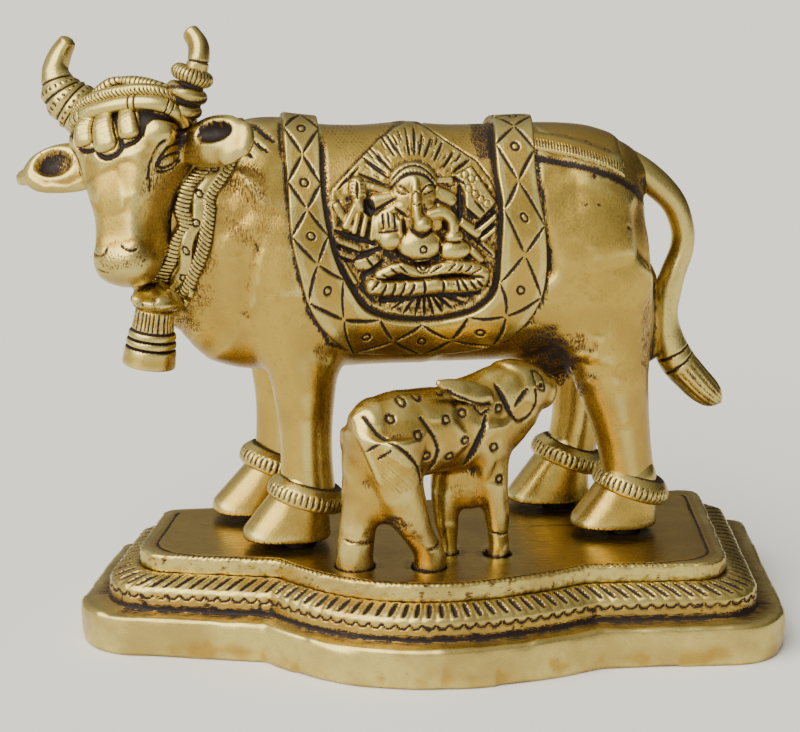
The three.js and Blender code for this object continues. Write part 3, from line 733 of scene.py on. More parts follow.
def piece(name, skin, material, node, occlusion_shade=1.0, gather=0.75, aged=0.0):
    """A finished piece: its mesh, the shares of patina, polish and tarnishing at each vertex, with painted shade in two
    of them, and its place.

    Patina gathers where the surface lies under its settled self. Where much metal stands around, painted shade is added
    to the patina share and to the tarnishing share.
    Undersides and the side that faces right get painted shade, as amber in the tarnishing share.
    The fifth and sixth arguments say how much painted shade the metal around adds and how much patina the hollows
    gather, and aged how tarnished all of it is.
    """
    points, quads, fans, carved = skin if type(skin) is list else outward(skin)
    p = points[quads]
    normals = vertex_normals(points, quads, fans)
    spacing = math.sqrt(np.median(np.linalg.norm(np.cross(p[:, 1] - p[:, 0], p[:, 3] - p[:, 0]), axis=1)))
    rounds = int(np.clip((1.3 / spacing) ** 2 * 2, 2, 30))
    sunk = np.einsum("ij,ij->i", settled(points, quads, rounds) - points, normals)
    # the share of metal around each vertex: it drives the painted occlusion shade below
    around = buried(points, normals)
    # patina share: engraved marks, patina in hollows, and painted shade where much metal stands around
    patina = np.clip(carved + ramp(sunk, 0.07, 0.36) * gather + ramp(around, 0.40, 0.66) * 0.9 * occlusion_shade, 0, 1.3)
    polish = ramp(-sunk, 0.03, 0.22)
    # tarnishing share: aged tarnish, plus painted shade on undersides, on the side facing right and where much metal
    # stands around
    tarnish_and_painted_shade = np.clip(aged + ramp(-normals[:, 2], -0.1, 1.0) * 0.5 + ramp(normals[:, 0], 0.4, 1.0) * 0.45 + ramp(around, 0.3, 0.5) * 0.5 * min(occlusion_shade * 1.4, 1), 0, 1)
    mesh = bpy.data.meshes.new(name)
    corners = np.concatenate([quads.ravel(), fans.ravel()]).astype(np.int32)
    starts = np.concatenate([np.arange(len(quads)) * 4, len(quads) * 4 + np.arange(len(fans)) * 3])
    mesh.vertices.add(len(points))
    mesh.vertices.foreach_set("co", (points * MM).astype(np.float32).ravel())
    mesh.loops.add(len(corners))
    mesh.loops.foreach_set("vertex_index", corners)
    mesh.polygons.add(len(starts))
    mesh.polygons.foreach_set("loop_start", starts.astype(np.int32))
    mesh.polygons.foreach_set("use_smooth", np.ones(len(starts), bool))
    for share, values in (("patina", patina), ("polish", polish), ("tarnish_and_painted_shade", tarnish_and_painted_shade)):
        mesh.attributes.new(share, "FLOAT", "POINT").data.foreach_set("value", values.astype(np.float32))
    mesh.update(calc_edges=True)
    mesh.validate()
    mesh.materials.append(material)
    made = bpy.data.objects.new(name, mesh)
    bpy.context.scene.collection.objects.link(made)
    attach(made, "root")
    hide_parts(node)
    print("piece", name, len(quads) * 2 + len(fans), "triangles")
    return made


# Finishes

def linear(colour):
    """An sRGB hex colour as linear red, green, blue and 1."""
    parts = [int(colour[k:k + 2], 16) / 255 for k in (1, 3, 5)]
    return tuple(c / 12.92 if c <= 0.04045 else ((c + 0.055) / 1.055) ** 2.4 for c in parts) + (1.0,)


def add(tree, kind, settings=None, links=None):
    """A node with its settings, and its sockets set or linked."""
    node = tree.nodes.new(kind)
    for key, value in (settings or {}).items():
        setattr(node, key, value)
    for key, value in (links or {}).items():
        if isinstance(value, bpy.types.NodeSocket):
            tree.links.new(value, node.inputs[key])
        else:
            node.inputs[key].default_value = value
    return node


def cast_brass(name, finish, grain_way):
    """Sand-cast brass, filed and wheel-polished, with a brown-black patina left in its hollows.

    The polish gives broad soft highlights with fine scratches along grain_way. The patina is an oxide, so it is
    rough and hardly metallic, and the metal beside it is tinged amber. The patina share also carries painted shade
    where much metal stands around, and the amber also paints shade on undersides and on the side facing right.
    """
    material = bpy.data.materials.new(name)
    material.use_nodes = True
    tree = material.node_tree
    tree.nodes.clear()
    place = add(tree, "ShaderNodeTexCoord").outputs["Object"]
    share = {k: add(tree, "ShaderNodeAttribute", {"attribute_name": k}).outputs["Fac"] for k in ("patina", "polish", "tarnish_and_painted_shade")}
    noise = lambda size, detail=3.0, rough=0.55, at=place: add(
        tree, "ShaderNodeTexNoise", None, {"Vector": at, "Scale": 1 / (size * MM), "Detail": detail, "Roughness": rough}
    ).outputs["Fac"]
    sum_of = lambda a, b, kind="ADD", clamp=False: add(tree, "ShaderNodeMath", {"operation": kind, "use_clamp": clamp}, {0: a, 1: b}).outputs[0]
    span = lambda x, low, high, to_low=0.0, to_high=1.0: add(
        tree, "ShaderNodeMapRange", {"interpolation_type": "SMOOTHSTEP"},
        {"Value": x, "From Min": low, "From Max": high, "To Min": to_low, "To Max": to_high},
    ).outputs["Result"]
    mix = lambda f, a, b: add(tree, "ShaderNodeMix", {"data_type": "RGBA"}, {0: f, 6: a, 7: b}).outputs[2]
    clouds = noise(17)
    blotches = noise(3.2, 4.0, 0.6)
    specks = noise(0.7, 2.0, 0.6)
    stretched = add(tree, "ShaderNodeMapping", None, {"Vector": place, "Scale": grain_way}).outputs["Vector"]
    scratches = noise(0.35, 2.0, 0.6, stretched)
    # patina and painted occlusion shade: the vertex share, broken up by blotches and specks
    broken = sum_of(share["patina"], sum_of(span(blotches, 0.3, 0.7, -0.13, 0.13), span(specks, 0.3, 0.7, -0.08, 0.08)))
    half_worn = sum_of(share["patina"], sum_of(1.0, share["patina"], "SUBTRACT", True), "MULTIPLY", True)
    broken = sum_of(broken, sum_of(half_worn, span(scratches, 0.38, 0.62, -1.2, 1.2), "MULTIPLY"))
    dark = span(broken, 0.26, 0.78)
    # amber beside the patina, and from the tarnishing share, which is partly painted shade on undersides, the right
    # side and where much metal stands around
    amber_and_painted_shade = sum_of(span(broken, -0.02, 0.42), sum_of(share["tarnish_and_painted_shade"], span(clouds, 0.35, 0.65, -0.25, 0.3)), "MAXIMUM", True)
    metal = mix(span(share["polish"], 0, 1), linear(finish.satin), linear(finish.bright))
    metal = mix(sum_of(amber_and_painted_shade, 0.85, "MULTIPLY"), metal, linear(finish.amber))
    colour = mix(dark, metal, linear(finish.patina))
    rough = sum_of(span(scratches, 0.3, 0.7, finish.roughness - 0.05, finish.roughness + 0.08), span(broken, 0.1, 0.9, 0.0, 0.3))
    # fine scratches and casting grain as relief
    height = sum_of(sum_of(scratches, 0.35, "MULTIPLY"), sum_of(specks, sum_of(span(broken, 0.0, 0.8, 0.35, 1.6), 1.0, "MULTIPLY"), "MULTIPLY"))
    bump = add(tree, "ShaderNodeBump", None, {"Height": height, "Strength": finish.grain, "Distance": 0.00012})
    shader = add(tree, "ShaderNodeBsdfPrincipled", None, {
        "Base Color": colour,
        "Metallic": span(dark, 0.35, 1.0, 1.0, 0.35),
        "Roughness": rough,
        "Normal": bump.outputs["Normal"],
    })
    add(tree, "ShaderNodeOutputMaterial", None, {"Surface": shader.outputs["BSDF"]})
    return material


@functools.lru_cache(None)
def finish_of(name):
    """Each casting's own brass: its scratches run the way it was filed."""
    ways = {"satin cast brass": (1.0, 1.0, 0.25), "filed cast brass": (0.12, 1.0, 1.0), "brushed brass plate": (0.08, 1.2, 1.0)}
    return cast_brass(name, bpy.context.scene.statue_finish, ways[name])


# The base

def base_front(x, inset):
    """The front edge's y: a bow that falls off as a power of x, then a straight shoulder."""
    at = np.where(x < 0, SHOULDER_LEFT[0], SHOULDER_RIGHT[0])
    slope = np.where(x < 0, SHOULDER_LEFT[1], SHOULDER_RIGHT[1])
    power = np.where(x < 0, BOW_POWER_LEFT, BOW_POWER_RIGHT)
    reach = BOW_REACH - inset * 0.25
    t = np.minimum(np.abs(x) / reach, 1)
    return BOW_FRONT + (at - BOW_FRONT) * t ** power + slope * np.maximum(np.abs(x) - reach, 0) + inset


def base_back(x, inset):
    return BASE_BACK_MIDDLE + BASE_BACK_SLOPE * x - inset


def outline(inset, spacing):
    """The base's outline drawn in by inset: four corner arcs, the bowed front and three straight sides.

    Every inset has the same number of points on each stretch, so the outlines pair up.
    """
    ends = BASE_HALF_LENGTH - inset * END_INSET
    corner = max(CORNER_RADIUS - inset * 0.6, 1.0)
    small = BACK_CORNER_RADIUS
    steps = lambda length: max(int(length / spacing), 2)

    def arc(x, y, radius, start, stop, count):
        a = np.radians(np.linspace(start, stop, count))
        return np.stack([x + radius * np.cos(a), y + radius * np.sin(a)], 1)

    def straight(a, b, count):
        t = np.linspace(0, 1, count + 2)[1:-1, None]
        return np.asarray(a) * (1 - t) + np.asarray(b) * t

    left, right = -ends + corner, ends - corner
    front = lambda x: float(base_front(np.array(x), inset))
    back = lambda x: float(base_back(np.array(x), inset))
    x = np.linspace(left, right, steps(185))[1:-1]
    first = arc(left, front(left) + corner, corner, 180, 264, steps(24))
    nose = np.stack([x, base_front(x, inset)], 1)
    second = arc(right, front(right) + corner, corner, 276, 360, steps(24))
    third = arc(ends - small, back(ends) - small, small, 0, 90, steps(6))
    drawn = -ends + BASE_LEFT_SLOPE * (back(-ends) - front(left))
    fourth = arc(drawn + small, back(drawn) - small, small, 90, 180, steps(6))
    whole = np.concatenate([
        first, nose, second,
        straight(second[-1], third[0], steps(60)), third,
        straight(third[-1], fourth[0], steps(180)), fourth,
        straight(fourth[-1], first[0], steps(50)),
    ])
    reach = int(2.2 / spacing)
    weights = np.hanning(2 * reach + 3)[1:-1]
    return sum(w * np.roll(whole, k - reach, 0) for k, w in enumerate(weights)) / weights.sum()


def steps_skin(profile, spacing):
    """Outlines at each inset and height of a profile, as a grid with one row for each."""
    return np.stack([np.column_stack([outline(inset, spacing), np.full(len(outline(inset, spacing)), z)]) for inset, z in profile])


def through(marks, spacing):
    """A profile's points, evenly spaced along the straight runs between its marks."""
    out = [np.asarray(marks[0], float)]
    for a, b in zip(marks[:-1], marks[1:]):
        a, b = np.asarray(a, float), np.asarray(b, float)
        count = max(int(np.linalg.norm(b - a) / spacing), 1)
        out += [a + (b - a) * k / count for k in range(1, count + 1)]
    return np.array(out)


def base_steps(sizes):
    """The plinth and the cushion on it.

    The cushion's shoulder has lens-shaped cuts across it, one flute pitch apart along the edge and
    leaning towards the middle, and a half-round scallop under each at its rim.
    """
    rim = (CUSHION_INSET + 0.2, CUSHION_SIDE_TOP - 0.3)
    marks = [(0.7, 0), (0.1, 0.5), (0, 1.2), (0, PLINTH_TOP - 1.2), (0.4, PLINTH_TOP - 0.3), (1.3, PLINTH_TOP)]
    plinth = through(marks, 1.6)
    side = through([(CUSHION_INSET - 0.3, PLINTH_TOP - 0.1), (CUSHION_INSET, PLINTH_TOP + 0.5), rim], 0.42)
    bend = np.linspace(0, 1, 22)[1:]
    shoulder = np.stack([rim[0] + (PLATE_INSET - rim[0]) * bend, rim[1] + (PLATE_BOTTOM - 0.1 - rim[1]) * (1 - (1 - bend) ** 1.9)], 1)
    foot = np.array([(PLATE_INSET + 0.9, PLATE_BOTTOM - 0.7), (PLATE_INSET + 3, PLATE_BOTTOM - 0.8)])
    profile = np.vstack([plinth, side, shoulder, foot])
    points = steps_skin(profile, 0.52)
    run = np.concatenate([[0], np.cumsum(np.linalg.norm(np.diff(profile, axis=0), axis=1))])
    rim_row = len(plinth) + len(side) - 1
    r = (run - run[rim_row])[:, None]
    middle = points[rim_row + 8, :, :2]
    s = np.concatenate([[0], np.cumsum(np.linalg.norm(np.diff(middle, axis=0), axis=1))])[None, :]
    lean = np.tanh(points[rim_row, :, 0] / 15)[None, :] * -0.55
    wobble = 0.35 * grain(s, 0 * s, 5.0, 3)
    pitch = sizes.flute_pitch / MM
    phase = (s - lean * (r - 1) + wobble) / pitch
    gap = (phase - np.round(phase)) * pitch
    far = run[rim_row + 21] - run[rim_row]
    reach = 0.9 * np.sqrt(np.clip(1 - ((r - far * 0.5) / (far * 0.33)) ** 2, 0, 1))
    flute = np.where(reach > 0.01, np.clip(1 - (gap / np.maximum(reach, 0.01)) ** 2, 0, 1), 0)
    own = (s + wobble) / pitch
    across = (own - np.round(own)) * pitch
    scallop = np.hypot(across, (r + 0.35) * 1.05)
    scallop = (1 - ramp(np.abs(scallop - 1.55), 0.1, 0.42)) * ramp(-r, 0.3, 0.65)
    lobe = 0.5 * np.sqrt(np.clip(1 - (gap / pitch * 1.9) ** 2, 0, 1)) * ramp(r, 0, 1) * (1 - ramp(r, far - 1.2, far))
    depth = sizes.flute_depth / MM
    normals = grid_normals(points)
    normals = normals * np.sign((normals[rim_row - 4] * (points[rim_row - 4] - points[rim_row - 4].mean(0))).sum())
    u, v = points[..., 0] + points[..., 2], points[..., 1] + points[..., 2]
    rough = grain(u, v, 5.0, 11) * 0.10 + grain(u, v, 1.7, 12) * 0.05 * (r > -7)
    planes = facets(s, points[..., 2] * 1.3, 13, 15, 0.05) * (run < run[len(plinth)])[:, None]
    move = lobe - depth * flute - 0.4 * scallop + rough + planes
    points = points + normals * move[..., None]
    foot_gap = (run - run[len(plinth) + 1])[:, None] + 0.25 * grain(s, 0 * s, 6.0, 5)
    step_foot = np.exp(-(foot_gap / 0.24) ** 2) * (0.85 + 0.3 * grain(s, 0 * s, 9.0, 5))
    flecks = ramp(grain(s, r, 1.2, 13) + 0.6 * grain(s, r, 3.4, 14), 0.55, 1.0) * (r < -0.6) * (run > run[len(plinth)])[:, None] * 0.6
    carved = np.clip(flute * 1.1 + scallop * 0.95 + step_foot + flecks, 0, 1.2)
    carved = carved + (0.55 + 0.35 * grain(s, 0 * s, 7.0, 6)) * np.exp(-((r - far) / 0.4) ** 2)
    return wrapped(points, carved)


def hole_places():
    """Where feet and stubs go into the plate: the place and radius of each drilled hole."""
    holes = []
    for leg in LEGS:
        peg = leg["toe"] * 0.4 + leg["heel"] * 0.6
        holes.append((of_cow(np.array([peg, leg["y"], 0.0]))[:2], 5.0))
    for x, y, radius in CALF_FEET:
        holes.append((of_calf(np.array([x, y, 0.0]))[:2], radius + (1.1 if x > 10 else 0.4)))
    return holes


def base_plate(sizes):
    """The top plate: its outline at each inset, then drawn in evenly to a line along its middle.

    A graver's line runs round inside its edge, and short ticks cross the rim along the front.
    """
    marks = [(PLATE_INSET + 2, PLATE_BOTTOM - 1), (PLATE_INSET + 0.1, PLATE_BOTTOM - 0.4), (PLATE_INSET, PLATE_BOTTOM + 0.4), (PLATE_INSET, BASE_TOP - 0.7)]
    marks += [(PLATE_INSET + 0.25, BASE_TOP - 0.2), (PLATE_INSET + 0.8, BASE_TOP)]
    rise = through(marks, 0.7)
    top = through([(PLATE_INSET + 1.1, BASE_TOP), (PLATE_INSET + 8.4, BASE_TOP)], 0.36)
    profile = np.vstack([rise, top])
    points = steps_skin(profile, 0.43)
    edge = points[-1]
    middle = np.stack([np.clip(edge[:, 0], -50, 52), 18 + 0.06 * np.clip(edge[:, 0], -50, 52), np.full(len(edge), BASE_TOP)], 1)
    t = np.linspace(0, 0.985, 38)[1:, None, None]
    points = np.concatenate([points, edge * (1 - t) + middle * t])
    rows, cols = points.shape[:2]
    inset = np.zeros(rows)
    inset[:len(profile)] = profile[:, 0] - PLATE_INSET
    inset[len(profile):] = 99
    x, y = points[..., 0], points[..., 1]
    ends = ramp(np.abs(points[len(rise), :, 0] + 2), 62, 80)[None, :]
    back = ramp(points[len(rise), :, 1] - base_back(points[len(rise), :, 0], PLATE_INSET), -3.5, -1.5)[None, :]
    line_at = 1.5 + 2.2 * ends
    line = (1 - ramp(np.abs(inset[:, None] - line_at + 0.12 * grain(x, y, 9.0, 8)), 0.1, 0.42)) * (1 - back)
    line = line * (points[..., 2] > BASE_TOP - 0.1)
    front_edge = points[len(rise), :, :2]
    s = np.concatenate([[0], np.cumsum(np.linalg.norm(np.diff(front_edge, axis=0), axis=1))])[None, :]
    tick_phase = (s + 0.4 * inset[:, None]) / 1.5
    tick = (1 - ramp(np.abs(tick_phase - np.round(tick_phase)) * 1.5, 0.08, 0.4)) * (1 - ends) * (1 - back)
    tick = tick * ((inset > 0.15) & (inset < 1.5))[:, None] * (y < 10)
    sink = 0.28 * line + 0.2 * tick
    carved = line * 0.95 + tick * 0.55
    for centre, radius in hole_places():
        r = np.hypot(x - centre[0], y - centre[1])
        hole = (1 - ramp(r, radius - 0.45, radius + 0.2)) * (points[..., 2] > BASE_TOP - 0.1) * (inset[:, None] > 2)
        sink = sink + hole * 1.9
        # painted shadow: a dark ring out to 4 mm round each hole, where the foot standing in it shades the plate
        carved = carved + hole * 1.1 + 0.28 * (1 - ramp(r, radius, radius + 4)) * (inset[:, None] > 2)
    flat = points[..., 2] > BASE_TOP - 0.1
    points[..., 2] -= sink + flat * 0.04 * grain(x, y, 9.0, 20)
    side_face = (~flat) * (inset[:, None] < 1)
    lumps = (0.16 * grain(x, points[..., 2] * 2 + y, 2.2, 31) + 0.1 * grain(x + y, points[..., 2], 1.0, 32)) * side_face
    carved = carved + side_face * 0.4 * ramp(grain(x, points[..., 2] * 1.6 + y, 1.5, 33), 0.35, 0.9)
    normals = grid_normals(points)
    normals = normals * np.sign((normals[3] * (points[3] - points[3].mean(0))).sum())
    points = points + normals * lumps[..., None]
    return wrapped(points, carved)


# The cow

def hoof_field(points):
    """Four wedge-shaped hooves: ovals that grow forward and down, cut off flat above the plate."""
    value = None
    for leg in LEGS:
        k = np.array([1.15, 0.75, 0.4, 0.1, -0.1])
        front = leg["toe"] + (leg["top"] - leg["toe"]) * k
        back = leg["heel"] - k
        path = np.stack([(front + back) / 2, np.full(5, leg["y"]), HOOF_LIFT + (leg["tall"] - HOOF_LIFT) * k], 1)
        one = limb(path, [7.6, 8.0, 8.6, 8.9, 8.9], (back - front) / 2, fullness=2.35, stations=12)(points)
        floor = HOOF_LIFT - points[:, 2]
        one = -blend(-one, -floor, 1.2)
        value = one if value is None else np.minimum(value, one)
    return value


def cow_marks(p, n):
    """What is cut into her body, and where it sinks under the cloth: creases, neck strokes and pits."""
    x, y, z = p.T
    seen = np.stack([x, z], 1)
    side = ramp(np.abs(n[:, 1]), 0.15, 0.5)
    near = ramp(-n[:, 1], 0.1, 0.4)
    inside = polygon_distance(seen, [(a, min(b, 121)) for a, b in CLOTH_EDGE])
    carved = 0.9 * (1 - ramp(np.abs(inside - 0.1 - 0.4 * grain(x, z, 3.0, 24)), 0.3, 0.9)) * side
    under = ramp(-inside, 1.0, 2.4)
    sink = 0.25 * carved + 2.0 * under
    carved = carved * (1 - under)

    def mark(amount, depth, dark=1.0):
        nonlocal sink, carved
        sink = np.maximum(sink, amount * depth)
        carved = np.maximum(carved, amount * dark)

    for a, b, wide in (((-51.2, 118.6), (-44.8, 114.4), 0.85), ((-51.2, 114.8), (-47.2, 112.2), 0.7), ((-53.8, 112.5), (-51.4, 110.8), 0.7)):
        mark(cut(seen, a, b, wide) * (y < 0), 0.4)
    mark(cut(seen, (-61.9, 106.6), (-62.8, 99.0), 0.6) * near, 0.4)
    mark(groove(seen, [(25.6, 109.8), (33, 108.4), (39.2, 107.4), (44.7, 105.8), (50.9, 103.0), (56.6, 98.9), (60.4, 95.4)], 1.35) * near, 0.35, 1.0)
    for (cx, cz), r in (((44.4, 105.6), 0.8), ((45.7, 104.6), 0.6), ((42.6, 104.8), 1.1), ((48.4, 103.8), 0.7), ((40.1, 97.2), 0.4), ((43.5, 97.4), 0.4), ((52.6, 90.5), 0.35)):
        mark((1 - ramp(np.hypot(x - cx, z - cz), 0.3 * r, r)) * near, 0.4)
    for spot, reach, much in (
        ((33, 52), 11, 0.78), ((28, 58), 8, 0.55), ((38, 43), 5.5, 0.45), ((61, 100), 3.6, 0.9), ((57, 100.5), 3.0, 0.6), ((-70, 64), 5, 0.3), ((-33, 57), 3.4, 0.35),
    ):
        r = np.hypot(x - spot[0], z - spot[1]) / reach
        speckle = 0.5 * grain(x + y, z - y, 1.4, 25) + 0.4 * grain(x, z, 3.6, 26)
        mark((1 - ramp(r + 0.55 * speckle, 0.35, 1.0)) * (1 - ramp(z, 80, 90) * ramp(y, -6, 0)), 0.22, much)
    seam = (1 - ramp(np.abs(x - 64.5 - 0.4 * grain(z, y, 2.0, 27)), 0.3, 1.3)) * ramp(z, 45, 49) * (1 - ramp(z, 70, 74))
    mark(seam * (1 - ramp(np.abs(y), 7, 9)), 0.3, 0.85)
    rust = (1 - ramp(np.abs(x - 59.8), 1.0, 3.6)) * ramp(z, 44, 52) * (1 - ramp(z, 66, 74)) * (y < 0)
    mark(rust, 0.0, 0.3)
    udder = (1 - ramp(np.hypot((x - 33) / 13, (z - 50) / 11), 0.7, 1.1))
    sink = sink + udder * 0.35 * grain(x + y, z + y, 1.8, 9)
    before = np.interp(z, [62, 66.8, 71.2, 77.1, 82.8, 88.3, 93], [-53.4, -53.4, -53.8, -52.5, -51.4, -49.7, -47.6]) - x
    crease = ramp(before, -1.5, 1.5) * np.exp(-np.maximum(before, 0) / 6) * ramp(z, 62, 68) * (1 - ramp(z, 86, 93))
    planes = facets(x + 0.4 * y, z - 0.5 * np.abs(y), 22, 28, 0.1) + 0.2 * facets(x - 0.3 * z, z + 0.3 * x, 9, 33)
    planes = planes * ramp(z, 46, 60)
    sink = sink + 0.9 * crease * side + planes * (1 - under) + 0.04 * grain(x, z + y, 4, 29)
    fur = (1 - ramp(np.hypot((x + 53) / 9.5, (z - 99) / 13), 0.6, 1.1)) * near
    carved = np.maximum(carved, fur * (0.22 + 0.16 * grain(x + 0.3 * z, z, 4.0, 30)))
    dewlap = (1 - ramp(np.hypot((x + 67) / 7, (z - 80) / 15), 0.4, 1.1)) * near
    carved = np.maximum(carved, dewlap * (0.22 + 0.22 * grain(x + 0.3 * z, z * 0.5, 3.0, 32)))
    return sink, carved


def cow_body(sizes):
    """Her trunk, neck, legs and udder in one skin, where the blended field is zero."""
    field = lambda p: np.minimum(body_field(p), 50.0)
    points, quads, normals = shell(field, (-100, -26, 8), (70, 26, 124), sizes.body_cell / MM)
    sink, carved = cow_marks(points, normals)
    points = points - normals * sink[:, None]
    return of_cow(points), quads, np.zeros((0, 3), int), carved


def hooves(sizes):
    """The hooves, where their own field is zero."""
    skins = []
    for leg in LEGS:
        low = (leg["toe"] - 3, leg["y"] - 12, -1)
        high = (leg["heel"] + 3, leg["y"] + 12, leg["tall"] + 8)
        points, quads, normals = shell(hoof_field, low, high, 0.6)
        # painted shade: each hoof's lowest 1.1 mm and its underside are darkened like the shaded gap above the plate
        carved = 0.8 * (1 - ramp(points[:, 2], HOOF_LIFT, HOOF_LIFT + 1.1)) * (normals[:, 2] > -0.9)
        carved = carved + 0.9 * (normals[:, 2] < -0.85)
        skins.append((of_cow(points), quads, np.zeros((0, 3), int), carved))
        peg = leg["toe"] * 0.4 + leg["heel"] * 0.6
        stub, _, _, _ = tube([(peg, leg["y"], -1.9), (peg, leg["y"], 2.6)], [4.5, 4.5], side=(0, 1, 0), rings=6, sides=40)
        # painted shade: the peg is dark all over, as the shaded gap under the hoof it stands in
        skins.append(wrapped(of_cow(stub), 1.0))
    return gathered(skins)


def anklets(sizes):
    """A leaning ribbed ring at each ankle: a rounded band carried round the leg, with upright ribs."""
    skins = []
    profile = np.array([(-2.9, -1.4), (-2.8, 0.4), (-2.3, 1.3), (-1.4, 1.65), (-0.2, 1.7), (0.9, 1.5), (1.8, 1.0), (2.7, 0.2), (3.5, -0.7), (3.9, -1.6)])
    turn = np.linspace(0, 1, 26)
    for leg in LEGS:
        x, z, lean = leg["ring"]
        up, out = knots(profile, turn).T
        angle = np.arange(300) / 300 * TURN
        ribs = int(TURN * 10.6 / (1.3 * sizes.rib_pitch / MM))
        rib = 0.5 + 0.5 * np.cos(angle * ribs)
        band = (ramp(up, -1.9, -1.3) * (1 - ramp(up, 1.3, 1.9)))[:, None]
        notch = (1 - ramp(rib, 0.0, 0.5))[None, :] * band
        size = 9.0 + out[:, None] - 0.32 * notch
        c, s = np.cos(math.radians(lean)), np.sin(math.radians(lean))
        deep, wide = (size + 0.8) * np.cos(angle), (size - 0.2) * np.sin(angle)
        points = np.stack([x + deep * c + up[:, None] * s, leg["y"] + wide + 0 * up[:, None], z - deep * s + up[:, None] * c], -1)
        carved = notch * 0.75 + 0.8 * (1 - ramp(out, -1.1, -0.3))[:, None] * np.ones_like(notch)
        core = np.roll(points, 0, 0)
        inner = np.stack([points[-1] * 0 + np.array([x, leg["y"], z]) + (points[-1] - np.array([x, leg["y"], z])) * 0.7], 0)
        outer = np.stack([np.array([x, leg["y"], z]) + (points[0] - np.array([x, leg["y"], z])) * 0.7], 0)
        grid = np.concatenate([outer, core, inner])
        carved = np.pad(carved, ((1, 1), (0, 0)), "edge")
        skins.append(wrapped(of_cow(grid), carved))
    return gathered(skins)


TAIL_PATH = [
    (48, 0, 108.6), (57, 0, 105.4), (64.5, 0, 99.8), (70.4, 0, 93.6), (73.3, 0, 86), (73.2, 0, 79.8), (71, 0, 73.2),
    (69.3, 0, 67.2), (68.7, 0, 61.4), (69.4, 0, 55), (72.4, 0, 47.6), (77.8, 0, 41.2), (82.2, 0, 37), (86.6, 0, 33.6),
]


def tail(sizes):
    """Her tail: an oval carried down behind her, with two cross cuts and combed hair in its tuft."""
    wide = [5, 4.8, 4.4, 4, 3.8, 3.8, 3.9, 4.1, 4.3, 4.6, 5, 4.8, 4.2, 3]
    deep = [3.7, 3.9, 4.2, 3.8, 3.5, 3.5, 3.7, 4.2, 4.0, 4.8, 5.4, 5.0, 4.3, 2.6]
    points, out, t, angle = tube(TAIL_PATH, wide, deep, rings=300, sides=72)
    hair = ramp(t, 0.79, 0.81) * (1 - ramp(t, 0.985, 1.0))
    comb = (1 - ramp(0.5 + 0.5 * np.cos(angle * 17 + 0.7 * np.sin(t * 17)), 0.0, 0.5)) * hair
    crosses = sum((1 - ramp(np.abs(t - at + 0.004 * np.sin(angle)), 0.0022, 0.005)) for at in (0.748, 0.781))
    crosses = crosses * ramp(-np.cos(angle), 0.1, 0.5)
    facet = 0.25 * np.cos(angle * 2 + 0.6) * ramp(t, 0.1, 0.3) * (1 - ramp(t, 0.8, 0.9))
    points = points + out * (facet - 0.22 * comb - 0.45 * crosses)[..., None]
    centre = points.mean(1, keepdims=True)
    blunt = np.sqrt(np.clip(1 - ramp(t, 0.93, 1.0) ** 2 * 0.96, 0, 1))
    points = centre + (points - centre) * blunt[..., None]
    return wrapped(of_cow(points), 0.5 * comb + 1.0 * crosses)


# Her head

SKULL_Z = [21, 17, 9, 1, -7, -14, -20, -25, -29, -31.4]
SKULL_FRONT = [8, 12.5, 14.3, 13.6, 12.1, 10.4, 9.2, 9.1, 7.6, 5]
SKULL_BACK = [-8, -11, -13, -14.6, -15, -13.6, -9.6, -6.4, -4.6, -3.5]
SKULL_WIDE = [10, 15.5, 15.9, 14.6, 10.9, 8.2, 7.8, 7.9, 7.0, 4.8]
SKULL_ASIDE = [0, 0, -0.3, -0.5, -0.4, -0.5, -0.9, -1.2, -1.2, -1.0]
SKULL_FULLNESS = [2.6, 2.6, 2.8, 3.0, 3.8, 4.6, 4.4, 3.4, 2.8, 2.4]
EARS = {
    1: {
        "path": [(12, -1, 6), (18, 0.5, 5.9), (25, 3, 5.6), (31.4, 4, 5.2), (35.2, 4, 5.2)],
        "bowl": (26.6, 7.6, 7.5), "halves": (6.8, 4.6, 3.2), "wide": [3.4, 5.6, 7.0, 6.7, 4.9],
    },
    -1: {
        "path": [(-12, -1, 3.9), (-18, 0.5, 3.0), (-25, 3, 2.2), (-31, 4, 1.2), (-34.4, 4, 0.6)],
        "bowl": (-23.4, 7.4, 3.6), "halves": (6.8, 4.6, 4.6), "wide": [5.0, 6.8, 6.8, 5.2, 2.4],
    },
}


@functools.lru_cache(None)
def head_parts():
    """The fields that her head is blended from."""
    front, back = np.array(SKULL_FRONT), np.array(SKULL_BACK)
    skull = stack(2, SKULL_Z, (front + back) / 2, SKULL_WIDE, (front - back) / 2, SKULL_FULLNESS, 3.0, SKULL_ASIDE)
    muzzle = egg((-1.2, 1.6, -25.0), (8.1, 7.4, 5.6))
    ears, bowls = [], []
    for ear in EARS.values():
        ears.append(limb(ear["path"], ear["wide"], [2.8, 3.0, 3.1, 2.9, 2.2], side=(0, 0, 1), stations=30, nose=3.4))
        bowls.append(egg(ear["bowl"], ear["halves"]))
    brows = [egg((s * 10.5, 8.6, 8.0), (5.6, 3.8, 3.6)) for s in (-1, 1)]
    eyes = [egg((s * 11.4, 3.6, 1.6), (2.4, 4.6, 3.0)) for s in (-1, 1)]
    return skull, muzzle, ears, bowls, brows, eyes


def head_field(points):
    skull, muzzle, ears, bowls, brows, eyes = head_parts()
    value = blend(skull(points), muzzle(points), 3.0)
    for one in brows:
        value = blend(value, one(points), 4.0)
    for one in eyes:
        value = blend(value, one(points), 2.0)
    for ear, bowl in zip(ears, bowls):
        leaf = carve(ear(points), bowl(points), 1.0)
        value = blend(value, leaf, 2.5)
    return value


